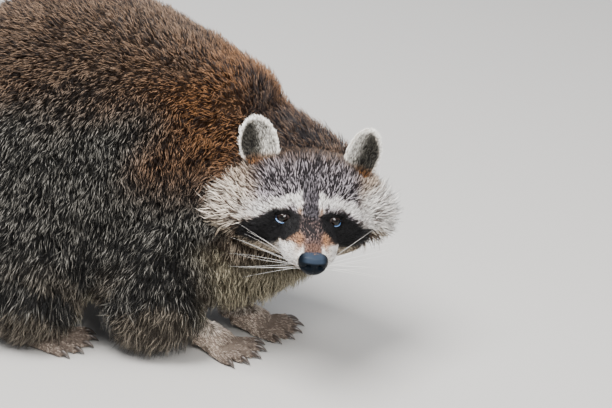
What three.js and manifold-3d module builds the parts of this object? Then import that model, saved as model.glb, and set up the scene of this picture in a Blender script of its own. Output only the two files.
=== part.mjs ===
// A raccoon standing on all fours with a hunched back, its head turned to its right.
// Millimetres. +X is the way the body points, +Y is its left and +Z is up, with the paws on the floor.
// Every solid follows the outline of the coat, out to the tips of the hair.
import * as THREE from "three";
import { mergeVertices } from "three/addons/utils/BufferGeometryUtils.js";
import Module from "manifold-3d";

const wasm = await Module();
wasm.setup();

const GAP = 0.3; // left between two parts that meet
const SKIN_OF_CUT = 0.02; // keeps a grown cutter from grazing the solid that it was grown from
const FAR = 500; // half the side of a cutting box
const EYE_SIGHT = 20; // half the depth of the opening cut in front of an eye

const BACK_TOP = 296; // top of the hunched back
const NECK_START = 104; // where the trunk ends and the neck begins, along X
const EYE_MIDDLE = new THREE.Vector3(187, -85, 138); // between the eyes
const HEAD_TURN = -67; // degrees to the left of the body, so the head looks to its right
const HEAD_DOWN = 2;
const HEAD_ROLL = -7; // the right ear is the higher one

const EYE = { radius: 6.2, ahead: 0.8, out: 20, up: 0, opening: 5.8, turn: 25, lift: 4 };
const EAR = { wide: 18, thick: 7.5, tall: 25, back: -46, up: 40, lean: 16, turn: 20 };
const EARS = [
  { name: "left", side: 1, out: 45, lift: -2 },
  { name: "right", side: -1, out: 39, lift: 2 },
];
const NOSE = { wide: 11.4, tall: 9.6, deep: 8, ahead: 44, up: -19.5 };
const MUZZLE_START = 12; // ahead of the eyes
const MOUTH = { height: -33, slope: -10 }; // degrees down towards the nose

const SOLE = 0.8; // how far a paw is pressed flat
const CLAW = { length: 11, radius: 1.8, drop: 3 };
const TOE_RADIUS = 4.4;

// The four legs. A wrist or heel is where its paw starts, on the floor. The fur of an upper arm reaches
// from the shoulder past the elbow down to its hem.
const FORE_LEGS = [
  { name: "right", side: -1, wrist: [82, -52], shoulder: -50, elbow: -75, hem: 7 },
  { name: "left", side: 1, wrist: [100, -4], shoulder: 44, elbow: 42, hem: 18 },
];
const HIND_LEGS = [
  { name: "right", side: -1, heel: [-102, -72] },
  { name: "left", side: 1, heel: [-122, 66] },
];

const FUR = { color: 0x5d5148, roughness: 0.9, metalness: 0 };
const finish = {
  coat: new THREE.MeshStandardMaterial(FUR),
  neck: new THREE.MeshStandardMaterial({ ...FUR, color: 0x8a6238 }),
  head: new THREE.MeshStandardMaterial({ ...FUR, color: 0x8d857e }),
  muzzle: new THREE.MeshStandardMaterial({ ...FUR, color: 0xd9d3ca }),
  ear: new THREE.MeshStandardMaterial({ ...FUR, color: 0xb9b0a4 }),
  paw: new THREE.MeshStandardMaterial({ ...FUR, color: 0x3b322d }),
  eye: new THREE.MeshStandardMaterial({ color: 0x1a0f0a, roughness: 0.08, metalness: 0 }),
  nose: new THREE.MeshStandardMaterial({ color: 0x14161a, roughness: 0.35, metalness: 0 }),
};

const X = new THREE.Vector3(1, 0, 0);
const Z = new THREE.Vector3(0, 0, 1);
const radians = THREE.MathUtils.degToRad;

// ---- solids from geometries ----

// Only the positions, with shared corners merged, as a closed surface needs.
function bare(geometry) {
  const plain = new THREE.BufferGeometry();
  plain.setAttribute("position", geometry.getAttribute("position"));
  if (geometry.index) plain.setIndex(geometry.index);
  return mergeVertices(plain, 1e-4);
}

function solidOf(geometry) {
  const plain = bare(geometry);
  return new wasm.Manifold(
    new wasm.Mesh({
      numProp: 3,
      vertProperties: new Float32Array(plain.attributes.position.array),
      triVerts: new Uint32Array(plain.index.array),
    }),
  );
}

function geometryOf(solid) {
  const { numProp, numVert, vertProperties, triVerts } = solid.getMesh();
  const positions = new Float32Array(numVert * 3);
  for (let i = 0; i < numVert; i++) {
    positions.set(vertProperties.subarray(i * numProp, i * numProp + 3), i * 3);
  }
  const geometry = new THREE.BufferGeometry();
  geometry.setAttribute("position", new THREE.BufferAttribute(positions, 3));
  geometry.setIndex(new THREE.BufferAttribute(triVerts, 1));
  geometry.computeVertexNormals();
  return geometry;
}

// The same shape, larger by a distance all round, to cut a neighbour with.
function grown(geometry, by = GAP) {
  const plain = bare(geometry);
  plain.computeVertexNormals();
  const { position, normal } = plain.attributes;
  for (let i = 0; i < position.count; i++) {
    position.setXYZ(
      i,
      position.getX(i) + normal.getX(i) * (by + SKIN_OF_CUT),
      position.getY(i) + normal.getY(i) * (by + SKIN_OF_CUT),
      position.getZ(i) + normal.getZ(i) * (by + SKIN_OF_CUT),
    );
  }
  return plain;
}

function box(low, high) {
  const size = high.map((v, i) => v - low[i]);
  const middle = high.map((v, i) => (v + low[i]) / 2);
  return new THREE.BoxGeometry(...size).translate(...middle);
}

// The largest body of a solid: cuts can leave slivers beside it.
function largest(solid) {
  return solid.decompose().sort((a, b) => b.volume() - a.volume())[0];
}

// ---- lofts ----

const PLAIN_LOFT = { ref: Z, sides: 12, perSpan: 2, power: [2, 2], dome: [0, 0], from: 0, to: 1 };

// A closed body round a smooth line. Each station has its middle (at), its half width to the side and its
// reach above and below the line, where above is towards ref. Over 2, power squares the section above and
// below. dome rounds an end over that many spans.
function loft(stations, options) {
  const { ref, sides, perSpan, power, dome, from, to } = { ...PLAIN_LOFT, ...options };
  const spans = stations.length - 1;
  const line = new THREE.CatmullRomCurve3(stations.map((s) => new THREE.Vector3(...s.at)));
  const reach = new THREE.CatmullRomCurve3(
    stations.map((s) => new THREE.Vector3(s.wide, s.above, s.below ?? s.above)),
  );
  const rings = Math.round(spans * perSpan * (to - from));
  const positions = [];
  const faces = [];
  const swell = (along) => {
    const start = dome[0] ? Math.min(1, (along * spans) / dome[0]) : 1;
    const end = dome[1] ? Math.min(1, ((1 - along) * spans) / dome[1]) : 1;
    return Math.sqrt(1 - (1 - start) ** 2) * Math.sqrt(1 - (1 - end) ** 2);
  };
  for (let i = 0; i <= rings; i++) {
    const along = from + ((to - from) * i) / rings;
    const middle = line.getPoint(along);
    const ahead = line.getTangent(along);
    const side = new THREE.Vector3().crossVectors(ref, ahead).normalize();
    const up = new THREE.Vector3().crossVectors(ahead, side);
    const size = reach.getPoint(along).multiplyScalar(Math.max(swell(along), 0.02));
    for (let j = 0; j < sides; j++) {
      const angle = (2 * Math.PI * j) / sides;
      const upper = Math.sin(angle) > 0;
      const squared = (v) => Math.sign(v) * Math.abs(v) ** (2 / power[upper ? 0 : 1]);
      const across = squared(Math.cos(angle)) * size.x;
      const rise = squared(Math.sin(angle)) * (upper ? size.y : size.z);
      const point = middle.clone().addScaledVector(side, across).addScaledVector(up, rise);
      positions.push(...point.toArray());
    }
  }
  for (let i = 0; i < rings; i++) {
    for (let j = 0; j < sides; j++) {
      const a = i * sides + j;
      const b = i * sides + ((j + 1) % sides);
      faces.push(a, b, b + sides, a, b + sides, a + sides);
    }
  }
  for (const [ring, turn] of [[0, 1], [rings, -1]]) {
    const first = ring * sides;
    const hub = positions.length / 3;
    const middle = new THREE.Vector3();
    for (let j = 0; j < sides; j++) {
      middle.add(new THREE.Vector3(...positions.slice((first + j) * 3, (first + j) * 3 + 3)));
    }
    positions.push(...middle.divideScalar(sides).toArray());
    for (let j = 0; j < sides; j++) {
      const a = first + j;
      const b = first + ((j + 1) % sides);
      faces.push(...(turn > 0 ? [hub, b, a] : [hub, a, b]));
    }
  }
  const geometry = new THREE.BufferGeometry();
  geometry.setAttribute("position", new THREE.Float32BufferAttribute(positions, 3));
  geometry.setIndex(faces);
  return geometry;
}

// A station of the trunk or neck, from where its middle line runs and the heights of its back and belly.
const slice = (x, y, top, bottom, wide) => ({
  at: [x, y, (top + bottom) / 2],
  wide,
  above: (top - bottom) / 2,
});

// A ball stretched to three radii.
function ellipsoid(radii, around = 14, down = 10) {
  return new THREE.SphereGeometry(1, around, down).scale(...radii);
}

// ---- trunk, neck and tail ----

const BODY = [
  slice(-200, 0, 196, 62, 84),
  slice(-170, 0, 216, 50, 96),
  slice(-134, 0, 241, 38, 106),
  slice(-92, 0, 269, 27, 113),
  slice(-35, 0, BACK_TOP, 22, 113),
  slice(26, -2, 278, 24, 104),
  slice(66, -3, 255, 28, 93),
  slice(102, -4, 233, 30, 80),
  slice(130, -5, 219, 40, 70),
  slice(156, -12, 202, 68, 60),
  slice(180, -30, 181, 97, 48),
];
const TAIL = [
  { at: [-165, 0, 148], wide: 30, above: 30 },
  { at: [-206, 3, 118], wide: 34, above: 34 },
  { at: [-248, 8, 87], wide: 37, above: 37 },
  { at: [-296, 14, 61], wide: 38, above: 38 },
  { at: [-346, 14, 50], wide: 37, above: 36 },
  { at: [-392, 4, 48], wide: 34, above: 32 },
  { at: [-428, -8, 50], wide: 26, above: 24 },
];
const TAIL_CUTS = [0.42, 0.71]; // shares of the tail's length

const bodyShape = loft(BODY, { sides: 22, power: [2.15, 2.9], dome: [1.8, 0] });
const cutBy = (shape, ...cutters) =>
  cutters.reduce((left, cutter) => left.subtract(solidOf(grown(cutter))), solidOf(shape));

// ---- head ----

// In the head's own frame: x ahead of the eyes, y to its left, z above the eyes.
const across = (x, z, wide, above, below) => ({ at: [x, 0, z], wide, above, below });
const SKULL = [
  across(-90, 5, 30, 26, 26),
  across(-74, 2, 61, 43, 42),
  across(-54, -3, 76, 52, 45),
  across(-36, -7, 82, 54, 42),
  across(-20, -9, 69, 47, 36),
  across(-8, -9, 53, 35, 30),
  across(2, -10, 38, 25, 25),
  across(9, -11, 22, 16, 17),
];
const MUZZLE = [
  across(-14, -10, 24, 24, 24),
  across(6, -12, 24, 19, 25),
  across(19, -15, 25, 15, 21),
  across(31, -17.5, 19, 11.5, 16.5),
  across(41, -20.5, 13.5, 8.5, 12),
  across(47, -21.5, 10, 6, 9),
];

function eyePlace(side) {
  return new THREE.Vector3(EYE.ahead, side * EYE.out, EYE.up);
}

// The way an eye looks: mostly ahead, a little outwards and up.
function eyeTurn(side) {
  return new THREE.Euler(0, radians(-EYE.lift), side * radians(EYE.turn), "ZYX");
}

// The pocket for an eye, and the opening between the lids in front of it.
function socket(side) {
  const pocket = ellipsoid([EYE.radius + GAP, EYE.radius + GAP, EYE.radius + GAP], 12, 8);
  const opening = ellipsoid([EYE_SIGHT, EYE.opening, EYE.opening * 0.86], 10, 6).translate(EYE_SIGHT, 0, 0);
  const turn = new THREE.Matrix4().makeRotationFromEuler(eyeTurn(side));
  const move = new THREE.Matrix4().setPosition(eyePlace(side));
  return [pocket, opening].map((g) => solidOf(g.applyMatrix4(turn).applyMatrix4(move)));
}

// Broad and flat on top, narrower below, as the pad over the lip is.
function noseShape() {
  const shape = ellipsoid([NOSE.deep, NOSE.wide, NOSE.tall], 12, 8);
  const { position } = shape.attributes;
  for (let i = 0; i < position.count; i++) {
    const height = position.getZ(i) / NOSE.tall;
    const narrow = 1 - 0.22 * Math.max(0, -height) ** 1.5;
    const flat = height > 0 ? 0.9 : 1;
    position.setXYZ(
      i,
      position.getX(i) + 1.8 * height,
      position.getY(i) * narrow,
      position.getZ(i) * flat,
    );
  }
  return shape.translate(NOSE.ahead, 0, NOSE.up);
}

// A rounded cup: the outer shell with a hollow scooped from its front.
function earShape({ side, out, lift }) {
  const shell = solidOf(ellipsoid([EAR.thick, EAR.wide, EAR.tall], 12, 10));
  const scoop = ellipsoid([EAR.thick * 1.25, EAR.wide * 0.76, EAR.tall * 0.78], 10, 8);
  const hollow = solidOf(scoop.translate(EAR.thick * 1.1, 0, 1));
  const turn = new THREE.Euler(side * radians(-EAR.lean), radians(-6), side * radians(EAR.turn), "ZYX");
  const place = new THREE.Matrix4()
    .makeRotationFromEuler(turn)
    .setPosition(EAR.back, side * out, EAR.up + lift);
  return geometryOf(shell.subtract(hollow)).applyMatrix4(place);
}

const skullShape = loft(SKULL, { sides: 20, dome: [0.8, 0.9] });
const muzzleShape = loft(MUZZLE, { sides: 12, dome: [0, 0.5] });
const headShape = geometryOf(solidOf(skullShape).add(solidOf(muzzleShape)));
const headPlace = new THREE.Matrix4()
  .makeRotationFromEuler(new THREE.Euler(radians(HEAD_ROLL), radians(HEAD_DOWN), radians(HEAD_TURN), "ZYX"))
  .setPosition(EYE_MIDDLE);

function headParts() {
  const nose = noseShape();
  let whole = solidOf(headShape).subtract(solidOf(grown(nose)));
  for (const side of [1, -1]) for (const cutter of socket(side)) whole = whole.subtract(cutter);
  const behind = solidOf(box([-FAR, -FAR, -FAR], [MUZZLE_START - GAP / 2, FAR, FAR]));
  const front = solidOf(box([MUZZLE_START + GAP / 2, -FAR, -FAR], [FAR, FAR, FAR]));
  const mouth = (low, high) =>
    solidOf(
      box([-FAR, -FAR, low], [FAR, FAR, high])
        .rotateY(radians(MOUTH.slope))
        .translate(MUZZLE_START, 0, MOUTH.height),
    );
  return {
    head: largest(whole.intersect(behind)),
    muzzle: largest(whole.intersect(front).intersect(mouth(GAP / 2, FAR))),
    lower_jaw: largest(whole.intersect(front).intersect(mouth(-FAR, -GAP / 2))),
    nose: solidOf(nose),
  };
}

// ---- legs ----

const overFloor = solidOf(box([-FAR, -FAR, 0], [FAR, FAR, FAR]));

// A paw that points along X from its wrist or heel: a palm, and five toes that each end in a claw.
function pawShape({ length, wide, high, toes, toeLength, spread }) {
  const reach = length - toeLength;
  const palm = loft(
    [
      { at: [-8, 0, high * 0.95], wide: wide * 0.62, above: high * 0.7 },
      { at: [reach * 0.35, 0, high * 0.62], wide: wide * 0.72, above: high * 0.62 + SOLE },
      { at: [reach * 0.8, 0, high * 0.44], wide, above: high * 0.44 + SOLE },
      { at: [reach * 1.12, 0, high * 0.36], wide: wide * 0.86, above: high * 0.34 + SOLE },
    ],
    { sides: 8, power: [2.3, 2.3], dome: [0.6, 0.8] },
  );
  let paw = solidOf(palm);
  const inner = (toes.length - 1) / 2;
  toes.forEach((share, i) => {
    const aside = (inner - i) / inner; // +1 to -1 across the paw
    const long = toeLength * share + reach * 0.22;
    const r = TOE_RADIUS;
    const place = new THREE.Matrix4()
      .makeRotationZ(radians(aside * spread))
      .setPosition(reach * 0.78, aside * wide * 0.78, 0);
    const toe = [
      { at: [-6, 0, r], wide: r * 0.9, above: r },
      { at: [long * 0.5, 0, r * 1.05], wide: r, above: r * 1.05 + SOLE },
      { at: [long - 1, 0, r * 0.9], wide: r * 0.9, above: r * 0.9 + SOLE },
      { at: [long + 1.5, 0, r * 1.05], wide: CLAW.radius, above: CLAW.radius * 1.2 },
      { at: [long - 4 + CLAW.length, 0, r * 1.05 - CLAW.drop], wide: 0.5, above: 0.6 },
    ];
    paw = paw.add(solidOf(loft(toe, { sides: 5, perSpan: 1 }).applyMatrix4(place)));
  });
  return paw;
}

const TOES = [0.7, 0.94, 1, 0.94, 0.7]; // how long each is, of the longest
const FORE_PAW = { length: 52, wide: 16, high: 20, toes: TOES, toeLength: 24, spread: 28 };
const HIND_PAW = { length: 92, wide: 17, high: 24, toes: TOES, toeLength: 25, spread: 20 };

const node = (name, geometry, material) => {
  const mesh = new THREE.Mesh(geometry, material);
  mesh.name = name;
  return mesh;
};

// The upper and lower lengths of a leg and its paw, each cut clear of what it grows from.
function leg({ names, upper, lower, paw, turn, pawSizes }) {
  const upperShape = loft(upper, { ref: X, power: [2.2, 2.2], dome: [0.8, 0.6] });
  const lowerShape = loft(lower, { ref: X, sides: 8, dome: [0.6, 0.5] });
  const place = new THREE.Matrix4().makeRotationZ(radians(turn)).setPosition(paw[0], paw[1], 0);
  const pawOnFloor = geometryOf(pawShape(pawSizes)).applyMatrix4(place);
  const solids = [
    [names[0], cutBy(upperShape, bodyShape), finish.coat],
    [names[1], cutBy(lowerShape, bodyShape, upperShape), finish.paw],
    [names[2], cutBy(pawOnFloor, bodyShape, upperShape, lowerShape), finish.paw],
  ];
  return solids.map(([name, solid, material]) => {
    const standing = largest(solid.intersect(overFloor));
    return node(name, geometryOf(standing), material);
  });
}

function foreLeg({ name, side, wrist: [x, y], shoulder, elbow, hem }) {
  return leg({
    names: [`upper_arm_${name}`, `forearm_${name}`, `forepaw_${name}`],
    upper: [
      { at: [x - 24, shoulder, 170], wide: 24, above: 34 },
      { at: [x - 30, (shoulder + elbow) / 2, 120], wide: 29, above: 46 },
      { at: [x - 32, elbow, 74], wide: 28, above: 48 },
      { at: [x - 28, elbow - 2, 34], wide: 25, above: 42 },
      { at: [x - 24, elbow - 2, hem], wide: 20, above: 32 },
    ],
    lower: [
      { at: [x - 16, y + side * 12, 66], wide: 20, above: 24 },
      { at: [x - 9, y + side * 6, 42], wide: 16, above: 17 },
      { at: [x - 4, y, 22], wide: 12, above: 13 },
      { at: [x + 2, y, 12], wide: 11, above: 10 },
    ],
    paw: [x, y],
    turn: side * 6 - 6,
    pawSizes: FORE_PAW,
  });
}

function hindLeg({ name, side, heel: [x, y] }) {
  const out = (far) => side * far;
  return leg({
    names: [`thigh_${name}`, `shank_${name}`, `hindpaw_${name}`],
    upper: [
      { at: [x - 8, out(54), 176], wide: 34, above: 52 },
      { at: [x + 10, out(72), 126], wide: 38, above: 66 },
      { at: [x + 34, out(80), 78], wide: 35, above: 60 },
      { at: [x + 50, out(84), 38], wide: 27, above: 44 },
      { at: [x + 58, out(87), 5], wide: 19, above: 30 },
    ],
    lower: [
      { at: [x + 34, y, 66], wide: 22, above: 28 },
      { at: [x + 20, y, 44], wide: 18, above: 20 },
      { at: [x + 9, y, 24], wide: 14, above: 14 },
      { at: [x + 8, y, 12], wide: 12, above: 12 },
    ],
    paw: [x, y],
    turn: out(4),
    pawSizes: HIND_PAW,
  });
}

// ---- the animal ----

const raccoon = new THREE.Group();

const whole = cutBy(bodyShape, headShape.clone().applyMatrix4(headPlace));
const trunkSide = solidOf(box([-FAR, -FAR, -FAR], [NECK_START - GAP / 2, FAR, FAR]));
const neckSide = solidOf(box([NECK_START + GAP / 2, -FAR, -FAR], [FAR, FAR, FAR]));
raccoon.add(node("trunk", geometryOf(largest(whole.intersect(trunkSide))), finish.coat));
raccoon.add(node("neck", geometryOf(largest(whole.intersect(neckSide))), finish.neck));

const lengths = [0, ...TAIL_CUTS, 1];
const tailShare = GAP / 330; // the same gap as a share of the tail's length
["tail_base", "tail_middle", "tail_tip"].forEach((name, i) => {
  const start = lengths[i] + (i ? tailShare : 0);
  const shape = loft(TAIL, { dome: [0, 1.2], from: start, to: lengths[i + 1] });
  raccoon.add(node(name, geometryOf(largest(cutBy(shape, bodyShape))), finish.coat));
});

const head = new THREE.Group();
head.applyMatrix4(headPlace);
for (const [name, solid] of Object.entries(headParts())) {
  const material = { head: finish.head, nose: finish.nose }[name] ?? finish.muzzle;
  head.add(node(name, geometryOf(solid), material));
}
const bodyInHead = bodyShape.clone().applyMatrix4(headPlace.clone().invert());
for (const sizes of EARS) {
  const ear = cutBy(earShape(sizes), headShape, bodyInHead);
  head.add(node(`ear_${sizes.name}`, geometryOf(largest(ear)), finish.ear));
  const ball = node(`eye_${sizes.name}`, ellipsoid([EYE.radius, EYE.radius, EYE.radius], 10, 7), finish.eye);
  ball.position.copy(eyePlace(sizes.side));
  ball.setRotationFromEuler(eyeTurn(sizes.side));
  head.add(ball);
}
raccoon.add(head);

for (const sizes of FORE_LEGS) raccoon.add(...foreLeg(sizes));
for (const sizes of HIND_LEGS) raccoon.add(...hindLeg(sizes));

// The part's origin is on the floor, under the middle of the model.
const extent = new THREE.Box3().setFromObject(raccoon, true);
const middle = extent.getCenter(new THREE.Vector3());
raccoon.position.set(-middle.x, -middle.y, 0);

const root = new THREE.Group();
root.add(raccoon);
export default root;
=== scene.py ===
from math import cos, pi, radians, sin

import bmesh
import bpy
import numpy as np
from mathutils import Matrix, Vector
from mathutils.bvhtree import BVHTree
from mathutils.kdtree import KDTree


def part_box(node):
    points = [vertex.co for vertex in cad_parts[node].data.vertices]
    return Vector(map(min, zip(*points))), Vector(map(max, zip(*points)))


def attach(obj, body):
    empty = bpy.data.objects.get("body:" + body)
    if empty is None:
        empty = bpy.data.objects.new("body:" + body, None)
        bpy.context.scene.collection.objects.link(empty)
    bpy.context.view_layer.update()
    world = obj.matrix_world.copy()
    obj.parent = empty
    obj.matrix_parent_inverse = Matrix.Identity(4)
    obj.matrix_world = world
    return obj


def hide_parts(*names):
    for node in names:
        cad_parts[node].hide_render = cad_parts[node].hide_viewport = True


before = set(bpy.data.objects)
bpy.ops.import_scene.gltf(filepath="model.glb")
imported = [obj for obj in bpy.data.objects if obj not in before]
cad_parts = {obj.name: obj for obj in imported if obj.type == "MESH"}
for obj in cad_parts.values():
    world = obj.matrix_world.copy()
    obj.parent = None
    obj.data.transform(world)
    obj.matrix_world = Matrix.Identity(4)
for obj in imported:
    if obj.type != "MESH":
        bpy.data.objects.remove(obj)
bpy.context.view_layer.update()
mm = 0.001
sides = ("left", "right")
dice = np.random.default_rng(11)


# numbers and vectors

def smooth(low, high, x):  # 0 before low, 1 after high, with a soft step between
    t = np.clip((np.asarray(x, float) - low) / (high - low), 0, 1)
    return t * t * (3 - 2 * t)


def bump(middle, reach, x):  # 1 at the middle, falling softly to 0 at reach on both sides
    return 1 - smooth(0, 1, np.abs(np.asarray(x, float) - middle) / reach)


def unit(v):
    return v / np.maximum(np.linalg.norm(v, axis=-1, keepdims=True), 1e-12)


def blend(a, b, share):
    share = np.asarray(share)[..., None] if np.ndim(share) else share
    return a * (1 - share) + b * share


def linear(red, green, blue):  # a colour as seen on a screen, 0 to 255, made linear
    c = np.array([red, green, blue]) / 255
    return np.where(c > 0.04045, ((c + 0.055) / 1.055) ** 2.4, c / 12.92)


deepening = {"kept": 0.58, "from": 0.1, "to": 0.8}  # what the dark keeps, and over which tones that fades


def deepened(colour):  # dark colours a little darker, pale ones as they are
    tone = colour.mean(-1, keepdims=True)
    kept = deepening["kept"]
    return colour * (kept + (1 - kept) * smooth(deepening["from"], deepening["to"], tone))


def waves(p, size, seed):  # smooth noise of about that size in metres, from -1 to 1
    rng = np.random.default_rng(seed)
    total = np.zeros(len(p))
    for _ in range(7):
        direction = unit(rng.normal(size=3)) * (2 * pi / size) * rng.uniform(0.7, 1.5)
        total += np.sin(p @ direction + rng.uniform(0, 2 * pi))
    return total / 3.2


# where things are

def centreOf(node):
    low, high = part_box(node)
    return np.array((low + high) / 2)


eyeMiddle = {side: centreOf("eye_" + side) for side in sides}
face = {
    "noseDrop": radians(24.78),  # how far the nose lies below straight ahead, seen from between the eyes
    "eyeOut": radians(25),  # each eye looks this far outwards
    "eyeLift": radians(4),
}
headOrigin = (eyeMiddle["left"] + eyeMiddle["right"]) / 2
headLeft = unit(eyeMiddle["left"] - eyeMiddle["right"])
toNose = centreOf("nose") - headOrigin
toNose = unit(toNose - headLeft * (toNose @ headLeft))
overNose = np.cross(toNose, headLeft)
headAhead = toNose * cos(face["noseDrop"]) + overNose * sin(face["noseDrop"])
headUp = overNose * cos(face["noseDrop"]) - toNose * sin(face["noseDrop"])
headAxes = np.stack([headAhead, headLeft, headUp])


def inHead(p):  # millimetres ahead of, left of and above the point between the eyes
    return (p - headOrigin) @ headAxes.T / mm


def fromHead(local):
    return headOrigin + np.asarray(local, float) * mm @ headAxes


# camera, floor and lights

view = {
    "turn": radians(15), "height": radians(20), "distance": 1.8, "lens": 132.35, "sensor": 36,
    "aside": -0.002, "above": 0.0116,  # how far the aim lies from the point between the eyes
    "clip": (0.05, 50),
}
back = np.array([
    sin(view["turn"]) * cos(view["height"]),
    -cos(view["turn"]) * cos(view["height"]),
    sin(view["height"]),
])
rightwards = np.array([cos(view["turn"]), sin(view["turn"]), 0])
upwards = np.cross(back, rightwards)
aim = headOrigin + rightwards * view["aside"] + upwards * view["above"]
cameraData = bpy.data.cameras.new("camera")
cameraData.lens, cameraData.sensor_width = view["lens"], view["sensor"]
cameraData.clip_start, cameraData.clip_end = view["clip"]


def addObject(name, data):
    piece = bpy.data.objects.new(name, data)
    bpy.context.scene.collection.objects.link(piece)
    return piece


def addFacing(name, data, at, way):  # a camera or a lamp that stands there and faces that way
    piece = addObject(name, data)
    piece.location = Vector(at)
    piece.rotation_mode = "QUATERNION"
    piece.rotation_quaternion = Vector(way).to_track_quat("-Z", "Y")
    return piece


camera = addFacing("camera", cameraData, aim + back * view["distance"], -back)
bpy.context.scene.camera = camera


def outward(points, faces):  # the triangles of a closed surface, turned so that they face outwards
    a, b, c = (points[faces[:, i]] for i in range(3))
    return faces if (a * np.cross(b, c)).sum() > 0 else faces[:, ::-1]


def meshOf(name, points, faces):  # faces is an array with three or four corners a row
    mesh = bpy.data.meshes.new(name)
    points = np.ascontiguousarray(points, np.float32)
    faces = np.ascontiguousarray(faces, np.int32)
    corners = faces.shape[1]
    mesh.vertices.add(len(points))
    mesh.vertices.foreach_set("co", points.ravel())
    mesh.loops.add(faces.size)
    mesh.loops.foreach_set("vertex_index", faces.ravel())
    mesh.polygons.add(len(faces))
    mesh.polygons.foreach_set("loop_start", np.arange(len(faces), dtype=np.int32) * corners)
    mesh.update(calc_edges=True)
    return mesh


def plainMaterial(name, colour, rough, **values):  # one colour; the values go to the shader's own sockets
    material = bpy.data.materials.new(name)
    material.use_nodes = True
    shader = material.node_tree.nodes["Principled BSDF"]
    shader.inputs["Base Color"].default_value = (*colour, 1)
    shader.inputs["Roughness"].default_value = rough
    for key, value in values.items():
        shader.inputs[key.replace("_", " ")].default_value = value
    return material


studio = {
    "floorSize": 6.0, "floorColour": (0.44, 0.43, 0.415), "floorRoughness": 0.7,
    "skyColour": (0.93, 0.95, 1, 1), "skyStrength": 0.66, "lampsFace": (0, 0, 0.15),
}
square = np.array([[-1, -1, 0], [1, -1, 0], [1, 1, 0], [-1, 1, 0]]) * studio["floorSize"]
floor = addObject("floor", meshOf("floor", square, np.array([[0, 1, 2, 3]])))
floor.data.materials.append(plainMaterial("floor", studio["floorColour"], studio["floorRoughness"]))

lights = {  # where each lamp stands from the model, in metres, its size and its power in watts
    "top": {"at": (-0.2, -0.5, 2.0), "size": 1.2, "power": 106, "colour": (1, 0.985, 0.96)},
    "front": {"at": (1.2, -1.4, 1.4), "size": 0.9, "power": 55, "colour": (1, 0.98, 0.95)},
    "far": {"at": (-1.0, 1.6, 1.3), "size": 1.2, "power": 20, "colour": (0.93, 0.96, 1)},
}
for name, lamp in lights.items():
    lampData = bpy.data.lights.new(name, "AREA")
    lampData.energy, lampData.size, lampData.color = lamp["power"], lamp["size"], lamp["colour"]
    addFacing(name, lampData, lamp["at"], Vector(studio["lampsFace"]) - Vector(lamp["at"]))
world = bpy.data.worlds.new("studio")
world.use_nodes = True
sky = world.node_tree.nodes["Background"].inputs
sky["Color"].default_value = studio["skyColour"]
sky["Strength"].default_value = studio["skyStrength"]
bpy.context.scene.world = world
print("camera, floor and lights set")


# mesh work in arrays

def arraysOf(mesh):
    points = np.zeros(len(mesh.vertices) * 3, np.float32)
    mesh.vertices.foreach_get("co", points)
    mesh.calc_loop_triangles()
    triangles = np.zeros(len(mesh.loop_triangles) * 3, np.int32)
    mesh.loop_triangles.foreach_get("vertices", triangles)
    return points.reshape(-1, 3).astype(float), triangles.reshape(-1, 3)


def faceCross(points, faces):
    a, b, c = (points[faces[:, i]] for i in range(3))
    return np.cross(b - a, c - a)


def normalsOf(points, faces):
    cross = faceCross(points, faces)
    total = np.zeros_like(points)
    for i in range(3):
        for k in range(3):
            total[:, k] += np.bincount(faces[:, i], cross[:, k], len(points))
    return unit(total)


def edgesOf(faces):
    pairs = np.concatenate([faces[:, [0, 1]], faces[:, [1, 2]], faces[:, [2, 0]]])
    return np.unique(np.sort(pairs, axis=1), axis=0)


def averaged(values, edges):  # each vertex's mean over its neighbours
    count = len(values)
    ends = np.concatenate([edges[:, 0], edges[:, 1]])
    others = np.concatenate([edges[:, 1], edges[:, 0]])
    number = np.maximum(np.bincount(ends, minlength=count), 1)
    flat = values.reshape(count, -1)
    sums = np.stack([np.bincount(ends, flat[others, k], count) for k in range(flat.shape[1])], 1)
    return (sums / number[:, None]).reshape(values.shape)


def relaxed(values, edges, times, share=0.5):
    for _ in range(times):
        values = values + (averaged(values, edges) - values) * share
    return values


def sharedCorners(points, faces, grain):  # the same triangles, with corners that lie together made one
    keys = np.round(points / grain).astype(np.int64)
    _, first, place = np.unique(keys, axis=0, return_index=True, return_inverse=True)
    return points[first], place.ravel()[faces]


def mergedSolids(nodes, grow):  # the nodes' triangles with shared corners, each node a little larger
    allPoints, allFaces, owner, start = [], [], [], 0
    for index, node in enumerate(nodes):
        points, faces = sharedCorners(*arraysOf(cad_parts[node].data), 1e-6)
        points = points + normalsOf(points, faces) * grow
        allPoints.append(points)
        allFaces.append(faces + start)
        owner += [index] * len(faces)
        start += len(points)
    return np.concatenate(allPoints), np.concatenate(allFaces), np.array(owner)


def remeshed(points, faces, voxel):  # one closed surface round everything
    rough = addObject("rough", meshOf("rough", points, faces))
    remesh = rough.modifiers.new("remesh", "REMESH")
    remesh.mode, remesh.voxel_size = "VOXEL", voxel
    made = rough.evaluated_get(bpy.context.evaluated_depsgraph_get()).to_mesh()
    result = arraysOf(made)
    bpy.data.objects.remove(rough)
    return result


def surfaceTree(points, faces):
    return BVHTree.FromPolygons([Vector(p) for p in points], faces.tolist())


def pointTree(points):
    tree = KDTree(len(points))
    for i, p in enumerate(points):
        tree.insert(Vector(p), i)
    tree.balance()
    return tree


def nearestOwner(points, solids):
    tree = surfaceTree(solids[0], solids[1])
    owner = solids[2]
    return np.array([owner[tree.find_nearest(Vector(p))[2]] for p in points])


def spine(node, way, count, inset=(0, 0)):  # points down the middle of a node, along X (0) or Z (2)
    points, _ = arraysOf(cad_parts[node].data)
    start, end = points[:, way].min(), points[:, way].max()
    reach = max((end - start) / count, 4 * mm)
    line = []
    for place in np.linspace(start + inset[0] * mm, end - inset[1] * mm, count):
        near = points[np.abs(points[:, way] - place) < reach]
        middle = (near.min(0) + near.max(0)) / 2
        middle[way] = place
        line.append(middle)
    return np.array(line)


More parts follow.
